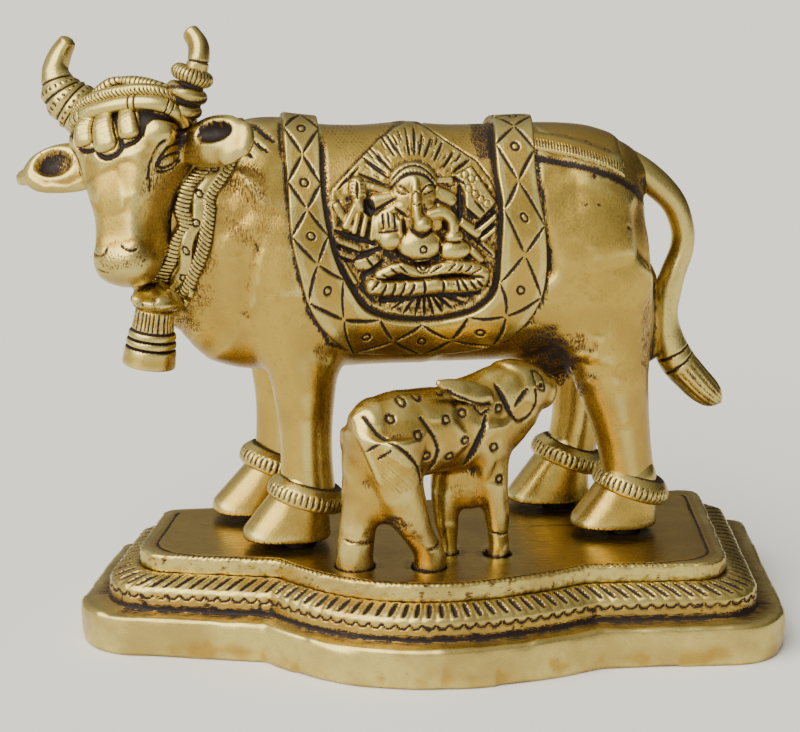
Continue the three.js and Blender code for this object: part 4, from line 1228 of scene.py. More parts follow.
EYE_LINES = [
    ([(17.4, 3.3, 7.7), (15.6, 4.8, 7.3), (15.0, 9.0, 5.7), (13.8, 10.6, 4.2), (12.3, 10.7, 2.4), (11.2, 10.8, 0.1), (10.5, 10.4, -2.5), (10.0, 9.9, -4.5)], 0.55),
    ([(16.6, 3.3, 6.4), (15.1, 4.9, 5.5), (14.6, 7.5, 4.0), (13.5, 8.5, 2.3), (12.5, 9.1, 0.3), (11.9, 9.0, -1.2)], 0.5),
    ([(12.1, 8.5, -1.1), (12.8, 8.4, 0.3), (13.7, 7.4, 1.7), (14.3, 5.4, 2.7), (14.8, 3.1, 3.5)], 0.42),
    ([(14.8, 3.1, 3.5), (14.3, 3.1, 1.7), (13.9, 4.2, 0.4), (13.3, 5.6, -0.8), (12.5, 6.9, -1.5), (12.1, 8.5, -1.1)], 0.42),
    ([(11.7, 8.2, -2.5), (12.4, 6.0, -2.2), (13.1, 4.3, -1.3), (14.0, 2.8, 0.5), (14.8, 2.0, 2.1)], 0.42),
    ([(10.5, 9.6, -4.0), (10.0, 8.8, -5.9), (9.6, 8.3, -7.4)], 0.4),
]
NOSTRIL_LINES = [
    [(1.9, 9.1, -22.2), (2.7, 9.0, -23.1), (4.2, 8.7, -23.6), (5.6, 8.1, -23.3), (6.8, 7.4, -22.2)],
    [(-8.0, 7.6, -23.2), (-6.4, 8.6, -24.2), (-4.6, 9.2, -24.6), (-3.2, 9.5, -24.0), (-2.8, 9.5, -23.0)],
]
LOCK_LINES = [
    ([(-12.0, 12.9, 7.4), (-11.2, 12.9, 5.0), (-9.6, 12.9, 3.9), (-7.0, 13.4, 3.5), (-4.6, 13.8, 3.7)], 0.9),
    ([(-4.4, 13.8, 3.9), (-3.2, 13.8, 2.0), (-0.6, 13.7, 1.0), (1.9, 13.7, 1.5), (3.6, 13.9, 3.0)], 1.0),
    ([(3.4, 13.9, 3.6), (5.5, 13.9, 4.0), (7.9, 13.8, 4.9), (9.5, 13.8, 6.8), (9.8, 13.9, 9.6)], 0.95),
    ([(-5.2, 13.6, 12.9), (-5.2, 14.0, 10.4), (-5.3, 14.3, 8.2), (-4.8, 14.3, 5.0)], 1.0),
    ([(0.9, 13.7, 12.9), (2.0, 14.1, 10.5), (3.0, 14.4, 7.4), (3.6, 14.2, 4.2)], 1.1),
]
TEMPLE = [(8, 13.4), (10.4, 13.6), (12.9, 13), (15.8, 11.8), (16.4, 10.6), (14, 10.9), (12.4, 10.9), (11.1, 9.3), (10.1, 5.6), (9.0, 7.2)]


def head_marks(p, n):
    """What is cut into her face: eyes under two brow lines, nostrils, stippled muzzle, mouth, ear hollows."""
    x, y, z = p.T
    both = np.stack([np.abs(x), y, z], 1)
    face = np.stack([x, z], 1)
    ahead = ramp(n[:, 1], 0.1, 0.4)
    sink = np.zeros(len(p))
    carved = np.zeros(len(p))

    def mark(amount, depth, dark=1.0):
        nonlocal sink, carved
        sink = np.maximum(sink, amount * depth)
        carved = np.maximum(carved, amount * dark)

    for line, wide in EYE_LINES:
        mark(groove(both, line, wide + 0.1), 0.45)
    for line in NOSTRIL_LINES:
        mark(groove(p, line, 0.56), 0.5)
    for line, wide in LOCK_LINES:
        mark(groove(p, line, wide), 0.9, 1.2)
    temple = 1 - ramp(polygon_distance(np.stack([x, z], 1), TEMPLE), -0.4, 0.3)
    other = 1 - ramp(polygon_distance(face, [(-9.6, 13.6), (-13, 12.8), (-15.6, 9.4), (-13.4, 7.0), (-12.0, 9.6)]), -0.4, 0.3)
    mark(np.maximum(temple, other) * (y > 3), 0.7, 1.1)
    stipple = ramp(np.sin(x * 6.6 + z * 3.2) * np.sin(x * 3.2 - z * 6.6), 0.0, 0.5)
    muzzle = 1 - ramp(polygon_distance(face, [(-4.6, -24.6), (-1.4, -23.6), (3.5, -25.0), (7.8, -24.2), (8.8, -25.6), (7.4, -27.2), (4.3, -28.4), (-2.8, -28.8), (-5.6, -27)]), -0.6, 0.3)
    mark(stipple * muzzle * ahead, 0.1, 0.5)
    mark(groove(p, [(-5.5, 8.6, -22.2), (-2.7, 9.0, -21.5), (0.2, 9.0, -21.2), (3.0, 8.9, -21.0), (5.5, 8.4, -21.0), (7.2, 7.4, -21.3)], 0.6), 0.12, 0.25)
    mark(groove(p, [(-6.4, 7.9, -27.9), (-2.8, 8.3, -29.3), (1.1, 8.3, -29.7), (4.6, 7.8, -29.5), (7.6, 6.7, -28.4), (9.1, 4.8, -26.6)], 0.45), 0.25, 0.5)
    mark(groove(p, [(0.1, 6.8, -31.5), (4.3, 6.4, -31.3), (7.7, 4.8, -29.9)], 0.4), 0.2, 0.45)
    for s, low, high in ((1, 0.9, 1.2), (-1, 0.25, 0.85)):
        centre, halves = np.array(EARS[s]["bowl"]) - (0, 1.6, 0), np.array(EARS[s]["halves"])
        bowl = np.linalg.norm((p - centre) / halves, axis=1)
        rough = grain(x, z, 0.9, 16) + 0.6 * grain(x + 9, z, 2.1, 18)
        inner = 1 - ramp(bowl + 0.22 * rough, 0.72, 0.98)
        mark(inner * (low + (high - low) * ramp(rough, -0.3, 0.5)), 0.0, 1.0)
        sink = sink + inner * 0.3 * rough
    nape = (1 - ramp(np.hypot(np.abs(x) - 15.5, z - 11.5), 1.0, 3.6)) * ramp(grain(y + x, z, 1.1, 17), -0.6, 0.1) * (y < 4)
    mark(nape, 0.1, 0.8)
    seam = (1 - ramp(np.abs(y + 3.5), 0.5, 4.0)) * ramp(-z, -2, 2) * ramp(-x, 8, 11)
    mark(seam * ramp(grain(y, z, 1.2, 19), -0.2, 0.5), 0.08, 0.35)
    # painted shade: her left cheek, turned away from the key light, darkened by how far it faces her left
    cheek = ramp(n[:, 0], 0.45, 0.8) * ramp(z, -27, -23) * (1 - ramp(z, 1, 5)) * (0.2 + 0.12 * grain(y, z, 6.0, 22))
    carved = np.maximum(carved, cheek)
    smooth = ramp(z, -16, -8) * (1 - ramp(z, 2, 6))
    sink = sink + 0.8 * facets(x + 0.5 * y, z - 0.2 * x, 8, 21, 0.12) * smooth * ahead
    return sink, carved


def head(sizes):
    points, quads, normals = shell(head_field, (-42, -16, -38), (42, 20, 26), sizes.head_cell / MM)
    sink, carved = head_marks(points, normals)
    points = points - normals * sink[:, None]
    return of_head(points), quads, np.zeros((0, 3), int), carved


def coil(centre, axis, big, thick, ribs, depth, lean=0.0):
    """A ribbed roll wound once round an axis: a torus whose skin is notched ribs times round."""
    axis = unit(np.asarray(axis, float))
    first = unit(np.cross(axis, [0.3, 1.0, 0.1]))
    second = np.cross(axis, first)
    a, b = np.meshgrid(np.arange(240) / 240 * TURN, np.arange(34) / 34 * TURN, indexing="ij")
    wave = 0.5 + 0.5 * np.cos(a * ribs + lean * np.sin(b))
    notch = (1 - ramp(wave, 0.0, 0.4)) * ramp(np.cos(b), -0.3, 0.3)
    r = thick * (1 - depth * notch)
    out = np.cos(a)[..., None] * first + np.sin(a)[..., None] * second
    points = np.asarray(centre, float) + out * (big + r * np.cos(b))[..., None] + axis * (r * np.sin(b))[..., None]
    index = np.arange(a.size).reshape(a.shape)
    right, up = np.roll(index, -1, 1), np.roll(index, -1, 0)
    quads = np.stack([index, right, np.roll(up, -1, 1), up], -1).reshape(-1, 4)
    return of_head(points.reshape(-1, 3)), quads, np.zeros((0, 3), int), (notch * 0.85).ravel()


HORN_PATH = {
    1: [(13, 2, 14), (17, 4, 18), (20.6, 6.5, 21.6), (23.2, 8, 26.4), (23, 8, 31.2), (20.2, 8.5, 35.4)],
    -1: [(-13, 2, 14), (-17, 4, 18), (-21, 6.5, 22), (-23, 8, 28), (-21.8, 8, 33), (-18.4, 8.5, 37.2)],
}
HORN_WIDE = {1: [5.2, 4.6, 3.3, 2.95, 2.75, 2.3], -1: [6.6, 6.7, 5.9, 3.9, 3.1, 2.2]}


def horns(sizes):
    """Two horns that rise and curl inwards.

    Her right one swells at its root, where dotted bands are cut round it. Her left one stands in
    two rolls, the upper ribbed and the lower smooth.
    """
    skins = []
    for s in (-1, 1):
        points, out, t, angle = tube(HORN_PATH[s], HORN_WIDE[s], rings=170, sides=64)
        ridge = 0.22 * np.cos(angle * 3 + 2.0) * ramp(t, 0.55, 0.7) * (1 - ramp(t, 0.9, 1))
        lines = sum(1 - ramp(np.abs(t - at), 0.004, 0.012) for at in ((0.2, 0.3, 0.41, 0.52) if s < 0 else (0.6,)))
        dots = ramp(np.cos(angle * 22), 0.2, 0.7) * sum(1 - ramp(np.abs(t - at), 0.008, 0.02) for at in (0.25, 0.36, 0.46))
        dots = dots * (s < 0)
        swell = sum(np.exp(-((t - at) / 0.03) ** 2) for at in (0.25, 0.36, 0.46)) * 0.45 * (s < 0)
        points = points + out * (ridge + swell - 0.4 * lines - 0.25 * dots)[..., None]
        blunt = np.sqrt(np.clip(1 - ramp(t, 0.93, 1.0) ** 2 * 0.75, 0, 1))
        centre = points.mean(1, keepdims=True)
        points = centre + (points - centre) * blunt[..., None]
        shadow = ramp(t, 0.05, 0.1) * (1 - ramp(t, 0.5, 0.56)) * (s > 0)
        skins.append(wrapped(of_head(points), np.clip(lines * 0.95 + dots * 0.8 + shadow, 0, 1)))
    for centre, axis, big, thick, ribs, depth, lean in (
        ((20.4, 6.4, 23.3), (0.42, 0.1, 0.9), 3.7, 2.2, 30, 0.1, 0.0),
        ((18.2, 5.2, 19.2), (0.46, 0.1, 0.88), 3.9, 1.9, 3, 0.02, 2.6),
        ((16.4, 3.8, 15.6), (0.5, 0.2, 0.85), 3.5, 1.7, 3, 0.05, 2.0),
    ):
        skins.append(coil(centre, axis, big, thick, ribs, depth, lean))
    return gathered(skins)


LOWER_ROLL = [
    (-15.4, 4.4, 11.2), (-14.6, 9.6, 12.6), (-10.2, 12.9, 13.6), (-3.5, 14.0, 14.6), (2.8, 14.2, 15.2), (9.0, 13.4, 15.3),
    (13.6, 11.2, 14.9), (16.2, 8.0, 13.7), (16.6, 4.5, 12.4), (16.4, 3.0, 11.4),
]
UPPER_BAND = [
    (-18.4, 2.0, 14.0), (-16.4, 7.4, 15.8), (-12.6, 10.6, 17.0), (-8.2, 12.2, 17.8), (-2.7, 13.0, 18.5), (3.3, 12.8, 18.9),
    (8.2, 12.0, 19.0), (12.4, 10.2, 18.6), (15.6, 7.0, 17.4), (17.2, 3.4, 15.8), (17.6, 0.4, 14.2),
]
LOCKS = [
    ([(-7.2, 12.6, 14), (-8.4, 13.9, 9.4), (-8.1, 13.2, 4.6)], [2.2, 2.9, 3.3]),
    ([(-2.2, 13.4, 14), (-1.6, 14.8, 9), (-0.5, 14.1, 2.2)], [2.3, 3.1, 3.8]),
    ([(4.4, 13.2, 14), (5.8, 14.4, 10), (6.5, 13.9, 5.2)], [2.2, 2.8, 3.1]),
]


def headdress(sizes):
    """The headband: a ribbed band over a plain roll, a pierced loop above and three combed locks below."""
    skins = []
    points, out, t, angle = tube(LOWER_ROLL, [1.7, 2.2, 2.1, 2.2, 2.1], [1.7, 2.0, 1.9, 2.0, 1.9], side=(0, 0, 1), rings=300, sides=36)
    pairs = sum(1 - ramp(np.abs(t - at), 0.002, 0.006) for at in (0.13, 0.16, 0.2, 0.235, 0.5, 0.53, 0.71, 0.745))
    points = points - out * (0.3 * pairs)[..., None]
    skins.append(wrapped(of_head(points), np.clip(pairs, 0, 1) * 0.9))
    points, out, t, angle = tube(UPPER_BAND, [1.6, 1.9, 2.0, 2.1, 1.9], [1.5, 1.9, 1.9, 1.9, 1.7], side=(0, 0, 1), rings=420, sides=36)
    s = along(points)
    low = ramp(-np.cos(angle), -0.45, 0.05)
    notch = (1 - ramp(0.5 + 0.5 * np.cos(s / 1.15 * TURN + 0.8 * np.sin(s)), 0.0, 0.4)) * low
    dots = ramp(np.cos(s / 0.8 * TURN), 0.1, 0.6) * (1 - ramp(np.abs(np.cos(angle) - 0.72), 0.05, 0.2)) * ramp(t, 0.55, 0.6)
    points = points - out * (0.3 * notch + 0.2 * dots)[..., None]
    skins.append(wrapped(of_head(points), np.clip(notch * 0.85 + dots * 0.8, 0, 1)))
    for path, wide in LOCKS:
        points, out, t, angle = tube(path, wide, [1.3, 2.0, 2.1], side=(1, 0, 0), rings=90, sides=52, fullness=2.5)
        end = np.sqrt(np.clip(1 - ramp(t, 0.72, 1.0) ** 2.2, 0.02, 1))
        centre = points.mean(1, keepdims=True)
        points = centre + (points - centre) * end[..., None]
        comb = (1 - ramp(0.5 + 0.5 * np.cos(t * 52 + 2.2 * np.cos(angle)), 0.0, 0.3)) * ramp(t, 0.1, 0.2) * (1 - ramp(t, 0.62, 0.7))
        points = points - out * (0.05 * comb)[..., None]
        skins.append(wrapped(of_head(points), comb * 0.1))
    for loop, wide in (
        ([(-13.4, 8.6, 16.8), (-8, 10.6, 19.0), (-3.4, 10.8, 21.9), (0.2, 10.4, 23.0)], 1.8),
        ([(-0.2, 10.4, 23.0), (4.4, 10.2, 22.0), (9.6, 9.4, 20.8), (15.4, 7.0, 19.4)], 1.9),
    ):
        points, out, t, angle = tube(loop, [1.1, wide, wide, 1.2], side=(0, 1, 0), rings=160, sides=30)
        s = along(points)
        notch = 1 - ramp(0.5 + 0.5 * np.cos(s / 1.3 * TURN + 1.5 * np.sin(s * 0.7)), 0.0, 0.35)
        points = points - out * (0.22 * notch)[..., None]
        skins.append(wrapped(of_head(points), notch * 0.75))
    return gathered(skins)


# Her garland and bell

CORD_PATHS = [
    [(-68.4, -17.6, 105), (-69.4, -19, 101.9), (-70.0, -20.2, 97.7), (-71.2, -20.6, 93.4), (-72.9, -20.2, 88.9), (-74.9, -18.9, 83.7), (-76.9, -17.2, 78.4), (-78.2, -15.4, 73.8)],
    [(-65.4, -18.6, 103.3), (-66.2, -20, 99.7), (-67.1, -20.5, 95.4), (-68.2, -20.6, 91.1), (-69.4, -19.9, 86.5), (-71.2, -18.5, 81.3), (-73.4, -17.1, 76.5), (-76.4, -15.4, 73)],
    [(-63.4, -19.4, 102.4), (-63.8, -19.6, 97.8), (-64.6, -20.2, 93.1), (-65.6, -20.5, 88.7), (-66.9, -19.8, 84.2), (-68.6, -18.2, 79.5), (-70.6, -16.8, 75.3), (-74.6, -15, 72.4)],
]
CORD_WIDE = (2.35, 2.0, 2.2)


def onto(field, points, lift, rounds=6):
    """The points pulled down a field's slope onto its surface, and raised from it by lift."""
    points = np.asarray(points, float)
    for _ in range(rounds):
        value, grad = slope_of(field, points)
        points = points - grad * ((value - lift) / np.maximum(np.einsum("ij,ij->i", grad, grad), 0.3))[:, None]
    return points


BELL_PLACE = (-81.2, -17.5, 54.6)
BELL_UP = (0.14, -0.02, 1)


def garland(sizes):
    """Three strands round her neck: two ribbed cords with a flat strip of punched rings between."""
    skins = []
    pitch = sizes.rib_pitch / MM
    for k, (near, wide) in enumerate(zip(CORD_PATHS, CORD_WIDE)):
        shift = 2.6 * k
        nape = [(-62 + shift, -13, 111), (-59.5 + shift, 0, 118), (-60.5 + shift, 11, 112)]
        far = [(-64 + shift, 17, 101), (-68 + shift, 16, 90), (-72.5 + shift, 11, 80), (-77 + shift * 0.5, 2, 72.5), (-79.5 + shift * 0.3, -6, 72.5), (-80, -12, 74)]
        path = onto(body_field, near[::-1] + nape + far, 0.5)
        points, out, t, angle = tube(path, [wide, wide], [1.5, 1.5], side=(1, 0, 0.3), rings=900, sides=30, fullness=2.5)
        s = along(points)
        face = ramp(np.abs(np.sin(angle)), 0.0, 0.3)
        if k != 1:
            phase = s / (pitch * 0.95) + 0.12 * np.cos(angle)
            notch = (1 - ramp(0.5 + 0.5 * np.cos(phase * TURN), 0.0, 0.45)) * face
            edge = 1 - ramp(np.abs(np.abs(np.cos(angle)) - 0.9), 0.03, 0.12)
            carved = np.maximum(notch * 0.8, edge * 0.85)
            points = points - out * (0.24 * notch + 0.2 * edge)[..., None]
        else:
            dots = np.stack([s - np.round(s / 8.2) * 8.2, np.cos(angle) * wide], -1)
            carved = ring(dots, (0, 0), 0.95, 0.42) * face
            points = points - out * (0.25 * carved)[..., None]
        skins.append(wrapped(of_cow(points), carved))
    for place in ((-69.2, -18.4, 73.4), (-70.4, -17.6, 70.2)):
        knob = onto(body_field, [place, (place[0] + 0.4, place[1], place[2] + 1.8)], 0.8)
        skins.append(wrapped(of_cow(tube(knob, [1.2, 1.2], rings=8, sides=20)[0]), 0.1))
    return gathered(skins)


def bell(sizes):
    """The bell and its tassel: a turned profile, from its mouth up through three rings, the combed fringe and the tie."""
    profile = [(0.0, 1.2), (4.8, 0.9), (6.6, 0.1), (7.35, 0.4), (7.3, 2.4), (7.05, 4.9), (6.2, 5.35), (6.9, 6.0), (6.8, 7.3), (6.0, 7.7), (6.6, 8.3), (6.45, 9.6), (5.7, 10.0), (5.8, 10.8), (5.5, 13.2), (5.4, 15.6), (4.8, 16.2), (6.3, 17.2), (7.0, 18.6), (6.2, 20.4), (4.2, 22.2), (0.0, 24.2)]
    t = np.linspace(0, 1, 150)[1:-1]
    radius, high = knots(profile, t).T
    angle = np.arange(180) / 180 * TURN
    r, a = np.meshgrid(radius, angle, indexing="ij")
    h = np.broadcast_to(high[:, None], r.shape)
    fringe = ramp(h, 10.2, 10.8) * (1 - ramp(h, 15.4, 15.9))
    comb = (1 - ramp(0.5 + 0.5 * np.cos(a * 26 + 1.5 * np.sin(a * 5)), 0.0, 0.45)) * fringe
    tie = ramp(h, 16.4, 17.4)
    lumps = 0.55 * grain(a * 5, h, 1.7, 50) * tie
    grooves = sum(1 - ramp(np.abs(h - at), 0.15, 0.5) for at in (5.35, 7.7, 10.1))
    r = r - 0.35 * comb + lumps
    up = unit(np.asarray(BELL_UP, float))
    first = unit(np.cross(up, [0, 1.0, 0]))
    second = np.cross(up, first)
    points = np.asarray(BELL_PLACE) + up * h[..., None] + r[..., None] * (np.cos(a)[..., None] * first + np.sin(a)[..., None] * second)
    carved = 0.8 * comb + grooves * 1.0 + 0.4 * tie * ramp(grain(a * 5, h, 1.2, 51), 0.0, 0.6)
    return wrapped(of_cow(points), carved)


# Her saddle cloth

def border(sizes, side, rows, cols):
    """The cloth's border band: a ruled strip between its two edges, laid on her body and raised.

    Down its middle, diamonds of four lens-shaped cuts meet point to point, with a ring in each.
    """
    u, v = np.linspace(0, 1, rows), np.linspace(0, 1, cols)
    edges = [knots([(x, girth(x, z)) for x, z in edge], u) for edge in (CLOTH_EDGE, PANEL_EDGE)]
    mixed = edges[0][:, None] * (1 - v)[None, :, None] + edges[1][:, None] * v[None, :, None]
    points, normals = laid(mixed[..., 0], mixed[..., 1], side)
    middle = points[:, cols // 2]
    s = np.concatenate([[0], np.cumsum(np.linalg.norm(np.diff(middle, axis=0), axis=1))])
    wide = np.linalg.norm(points[:, -1] - points[:, 0], axis=1)
    w = (v[None, :] - 0.5) * wide[:, None]
    flat = np.stack([np.broadcast_to(s[:, None], w.shape), w], -1)
    centres = []
    for x, z in CLOTH_RINGS:
        gap = (middle[:, 0] - x) ** 2 + (np.where(middle[:, 2] > 200, 0, middle[:, 2]) - z) ** 2
        centres.append(s[np.argmin(gap)])
    centres = np.array(centres)
    spine_gap = [centres[0] - 0.5 * (centres[1] - centres[0])]
    crossings = np.concatenate([spine_gap, (centres[1:] + centres[:-1]) / 2, [min(centres[-1] + 5.5, s[-1])]])
    cuts = np.zeros(w.shape)
    for start, stop, centre in zip(crossings[:-1], crossings[1:], centres):
        half = np.interp(centre, s, wide) * 0.45
        near = (flat[:, 0, 0] > start - 1) & (flat[:, 0, 0] < stop + 1)
        local = flat[near]
        for tip in (start, stop):
            for way in (-1, 1):
                a, b = np.array([tip, 0.0]), np.array([centre, way * half])
                cuts[near] = np.maximum(cuts[near], cut(local, a + (b - a) * 0.06, a + (b - a) * 0.97, sizes.cut_width / MM))
        cuts[near] = np.maximum(cuts[near], ring(local, (centre, 0.0), sizes.ring_radius / MM, 0.42))
    rim = np.minimum(v, 1 - v)[None, :] * wide[:, None]
    raise_by = sizes.cloth_raise / MM
    height = -0.9 + (raise_by + 0.9) * ramp(rim, 0.0, 0.75) ** 0.7 - 0.42 * cuts
    height = height + 0.05 * grain(points[..., 0], points[..., 2], 4.0, 60) + 1.1 * ramp(points[..., 2], 109, 117) * ramp(rim, 0.0, 1.0)
    carved = cuts * 1.05 + 0.9 * (1 - ramp(rim, 0.05, 0.5))
    out = points + normals * height[..., None]
    return backed(of_cow_grid(out), carved, of_cow_way(-normals))


def of_cow_grid(points):
    return of_cow(points.reshape(-1, 3)).reshape(points.shape)


def of_cow_way(ways):
    """Directions of her frame as directions of the row's."""
    c, s = math.cos(math.radians(COW_YAW)), math.sin(math.radians(COW_YAW))
    return np.stack([ways[..., 0] * c - ways[..., 1] * s, ways[..., 0] * s + ways[..., 1] * c, ways[..., 2]], -1)


def figure_relief(p):
    """The seated elephant-headed figure in its rayed frame: the relief's height and its dark cuts.

    Each limb is a half-round ridge along its own curve and each body part half an ellipsoid;
    the highest wins. Folds, rays and petals are cut afterwards. The places are x and z in
    millimetres, seen from her side.
    """
    x, z = p[..., 0], p[..., 1]
    frame_edge = [
        (-30.3, 102.4), (-25.7, 106.9), (-20.9, 111.3), (-16.4, 114.7), (-11.6, 116.6), (-6.5, 117.4), (-2.8, 116.8), (0.4, 115.3),
        (5.2, 112.4), (10.2, 109.2), (13.8, 104.2), (15.8, 99.1), (15.6, 88), (14.6, 76), (8.8, 69), (-5.4, 66.3), (-19, 69.3), (-27.6, 79), (-30.4, 88),
    ]
    inside = polygon_distance(p, frame_edge)
    ground = 0.2 * (1 - ramp(inside, -0.3, 0.3))
    lower = 1 - ramp(z, 96, 106)
    rough = grain(x, z, 1.3, 70) * 0.3 + grain(x, z, 0.6, 71) * 0.14
    hollow = lower * (1 - ramp(inside, -1.5, 0.0))
    height = ground - 0.35 * hollow + rough * (0.25 + 0.75 * lower) * (inside < 0)
    dark = hollow * (0.1 + 0.5 * ramp(-rough, -0.1, 0.2))
    shapes = []
    put = lambda value, lift=0.0: shapes.append(np.where(value > 0, value + lift, -1))
    # slats of the seat and cushions beside the figure
    for a, b, wide, tall in (
        ((-29, 98), (-25.5, 92.5), 1.3, 0.9), ((-26.7, 92.8), (-23.7, 98.6), 1.25, 1.7), ((-23.2, 96), (-24.4, 91.2), 0.9, 1.3),
        ((-21, 95.6), (-22.2, 90.4), 0.9, 1.4), ((-18.9, 95), (-19.6, 89.4), 0.9, 1.4), ((-29.6, 89.2), (-23, 86.6), 0.9, 0.8),
        ((-28.8, 85.4), (-24, 83.8), 0.9, 0.8), ((-27.4, 81.8), (-24.6, 77.2), 1.2, 0.9), ((-22.6, 82.6), (-19.4, 82.8), 2.2, 1.0),
        ((9.8, 90.6), (14.6, 94.6), 0.9, 1.0), ((11, 88.6), (15, 91.6), 0.8, 1.0), ((11.2, 86.6), (14.2, 84.2), 1.3, 0.8),
        ((5.2, 93.2), (9.4, 90.2), 1.5, 1.2), ((8.4, 85.2), (10.4, 83), 1.3, 1.0), ((13.2, 80.4), (13.8, 75), 1.0, 0.6),
    ):
        put(bead(p, [a, b], wide, tall))
    # upper hand with its leaf, on the left
    put(dome(p, (-23.1, 102.2), (2.7, 3.6), 2.0, 8))
    put(bead(p, [(-23.2, 99.4), (-22.6, 97.6)], 1.7, 2.2))
    put(bead(p, [(-21.0, 103.6), (-14.6, 101.6)], 1.0, 1.2))
    put(bead(p, [(-18.4, 99.2), (-13.2, 100.0)], 2.1, 1.7))
    # the fan on the right
    fan = polygon_distance(p, [(3.2, 105.6), (8.6, 108.0), (15.2, 98.3), (10.4, 93.6), (6.0, 96.6), (6.0, 101.0)])
    put(1.5 * (1 - ramp(fan, -0.8, 0.25)))
    blades = [((-1.2, 104.2), (2.6, 104.4), 0.9), ((-1.6, 101.4), (2.2, 99.4), 2.0), ((-1.2, 97.8), (1.8, 96.6), 0.9)]
    for a, b, wide in blades:
        put(bead(p, [a, b], wide, 1.3))
    # body
    put(dome(p, (-6.4, 94.6), (7.6, 5.2), 2.2))
    put(dome(p, (-6.6, 87.6), (6.3, 5.0), 3.9))
    put(bead(p, [(-12.4, 97.6), (-17.4, 94.4), (-17.6, 90)], 1.7, 1.9))
    put(dome(p, (-14.9, 93.8), (3.4, 2.9), 2.9))
    put(dome(p, (-14.6, 89.4), (3.7, 3.6), 3.4))
    put(bead(p, [(-12.2, 93.6), (-11.9, 90.4)], 1.1, 2.8))
    put(bead(p, [(-3.8, 95.4), (0.0, 95.9), (2.6, 93.6), (2.6, 90.4)], 1.85, 2.9))
    put(dome(p, (2.9, 89.4), (3.0, 2.1), 3.1))
    put(dome(p, (3.1, 85.8), (4.7, 3.2), 2.8))
    # crossed legs
    put(bead(p, [(-17.4, 79.2), (-12, 81.4), (-7.4, 80.0), (-2, 80.2)], 1.9, 2.6))
    put(bead(p, [(-2.6, 80.4), (4.6, 81.2), (10.6, 79.6), (11.0, 78.2)], 2.1, 2.6))
    put(bead(p, [(-19.2, 76.0), (-14.4, 75.4), (-8, 75.6), (-2, 76.2)], 2.6, 3.0))
    put(bead(p, [(-3, 76.2), (3, 76), (8.4, 76.2), (10.4, 77)], 2.2, 3.0))
    # head, crown and trunk
    put(dome(p, (-7.9, 101.0), (6.5, 5.8), 3.3))
    put(dome(p, (-7.8, 104.2), (6.8, 4.9), 3.9))
    put(dome(p, (-11.0, 97.8), (2.8, 2.6), 2.5))
    put(dome(p, (-4.6, 98.2), (2.5, 2.5), 2.5))
    put(dome(p, (-11.2, 101.6), (2.0, 1.1), 3.45, -20))
    put(dome(p, (-4.3, 101.8), (2.0, 1.1), 3.45, 20))
    put(bead(p, [(-7.7, 103.6), (-7.6, 99.8), (-7.5, 96.2), (-6.8, 93.4)], 2.0, 4.5))
    put(dome(p, (-6.0, 93.0), (3.2, 3.0), 4.9))
    raised = np.max(shapes, axis=0)
    body = raised > height
    edge_dark = (1 - ramp(raised, 0.15, 1.1)) * body
    height = np.where(body, np.maximum(raised, height), height)
    dark = np.where(body, 0.55 * edge_dark, dark)
    cuts = np.zeros_like(x)

    def strike(a, b, wide, depth=1.0):
        nonlocal cuts
        cuts = np.maximum(cuts, depth * cut(p, a, b, wide))

    # rays round the head
    for a, b, wide in (
        ((-8.4, 115.6), (-8.2, 110.8), 0.36), ((-6.0, 116.3), (-6.9, 110.8), 0.42), ((-13.9, 115.5), (-10.3, 110.4), 0.4),
        ((-15.7, 115.6), (-12.2, 110.6), 0.34), ((-17.6, 111.4), (-13.6, 107.2), 0.42), ((-3.9, 115.6), (-5.6, 110.6), 0.32),
        ((-1.6, 114.6), (-4.2, 110.2), 0.32), ((1.4, 113.8), (-1.6, 109.2), 0.4), ((4.2, 111.6), (0.9, 107.6), 0.4),
        ((-20.7, 109.6), (-14.4, 105.2), 0.36), ((-22.8, 106.6), (-15.2, 103.4), 0.5), ((-21.6, 110.8), (-15.0, 106.4), 0.3),
        ((-12.2, 115.2), (-11.0, 113.2), 0.22), ((-10.6, 115.8), (-9.8, 113.8), 0.2), ((0.4, 114.9), (-0.8, 112.9), 0.2),
        ((-19.2, 113.2), (-17.4, 111.2), 0.24), ((-20.2, 112.4), (-18.4, 110.4), 0.22), ((6.2, 110.9), (4.4, 109.0), 0.24),
        ((8.4, 109.6), (3.6, 106.6), 0.5), ((-26.6, 104.0), (-22.4, 108.2), 0.3), ((-28.6, 102.4), (-25.6, 105.6), 0.3),
    ):
        strike(a, b, wide)
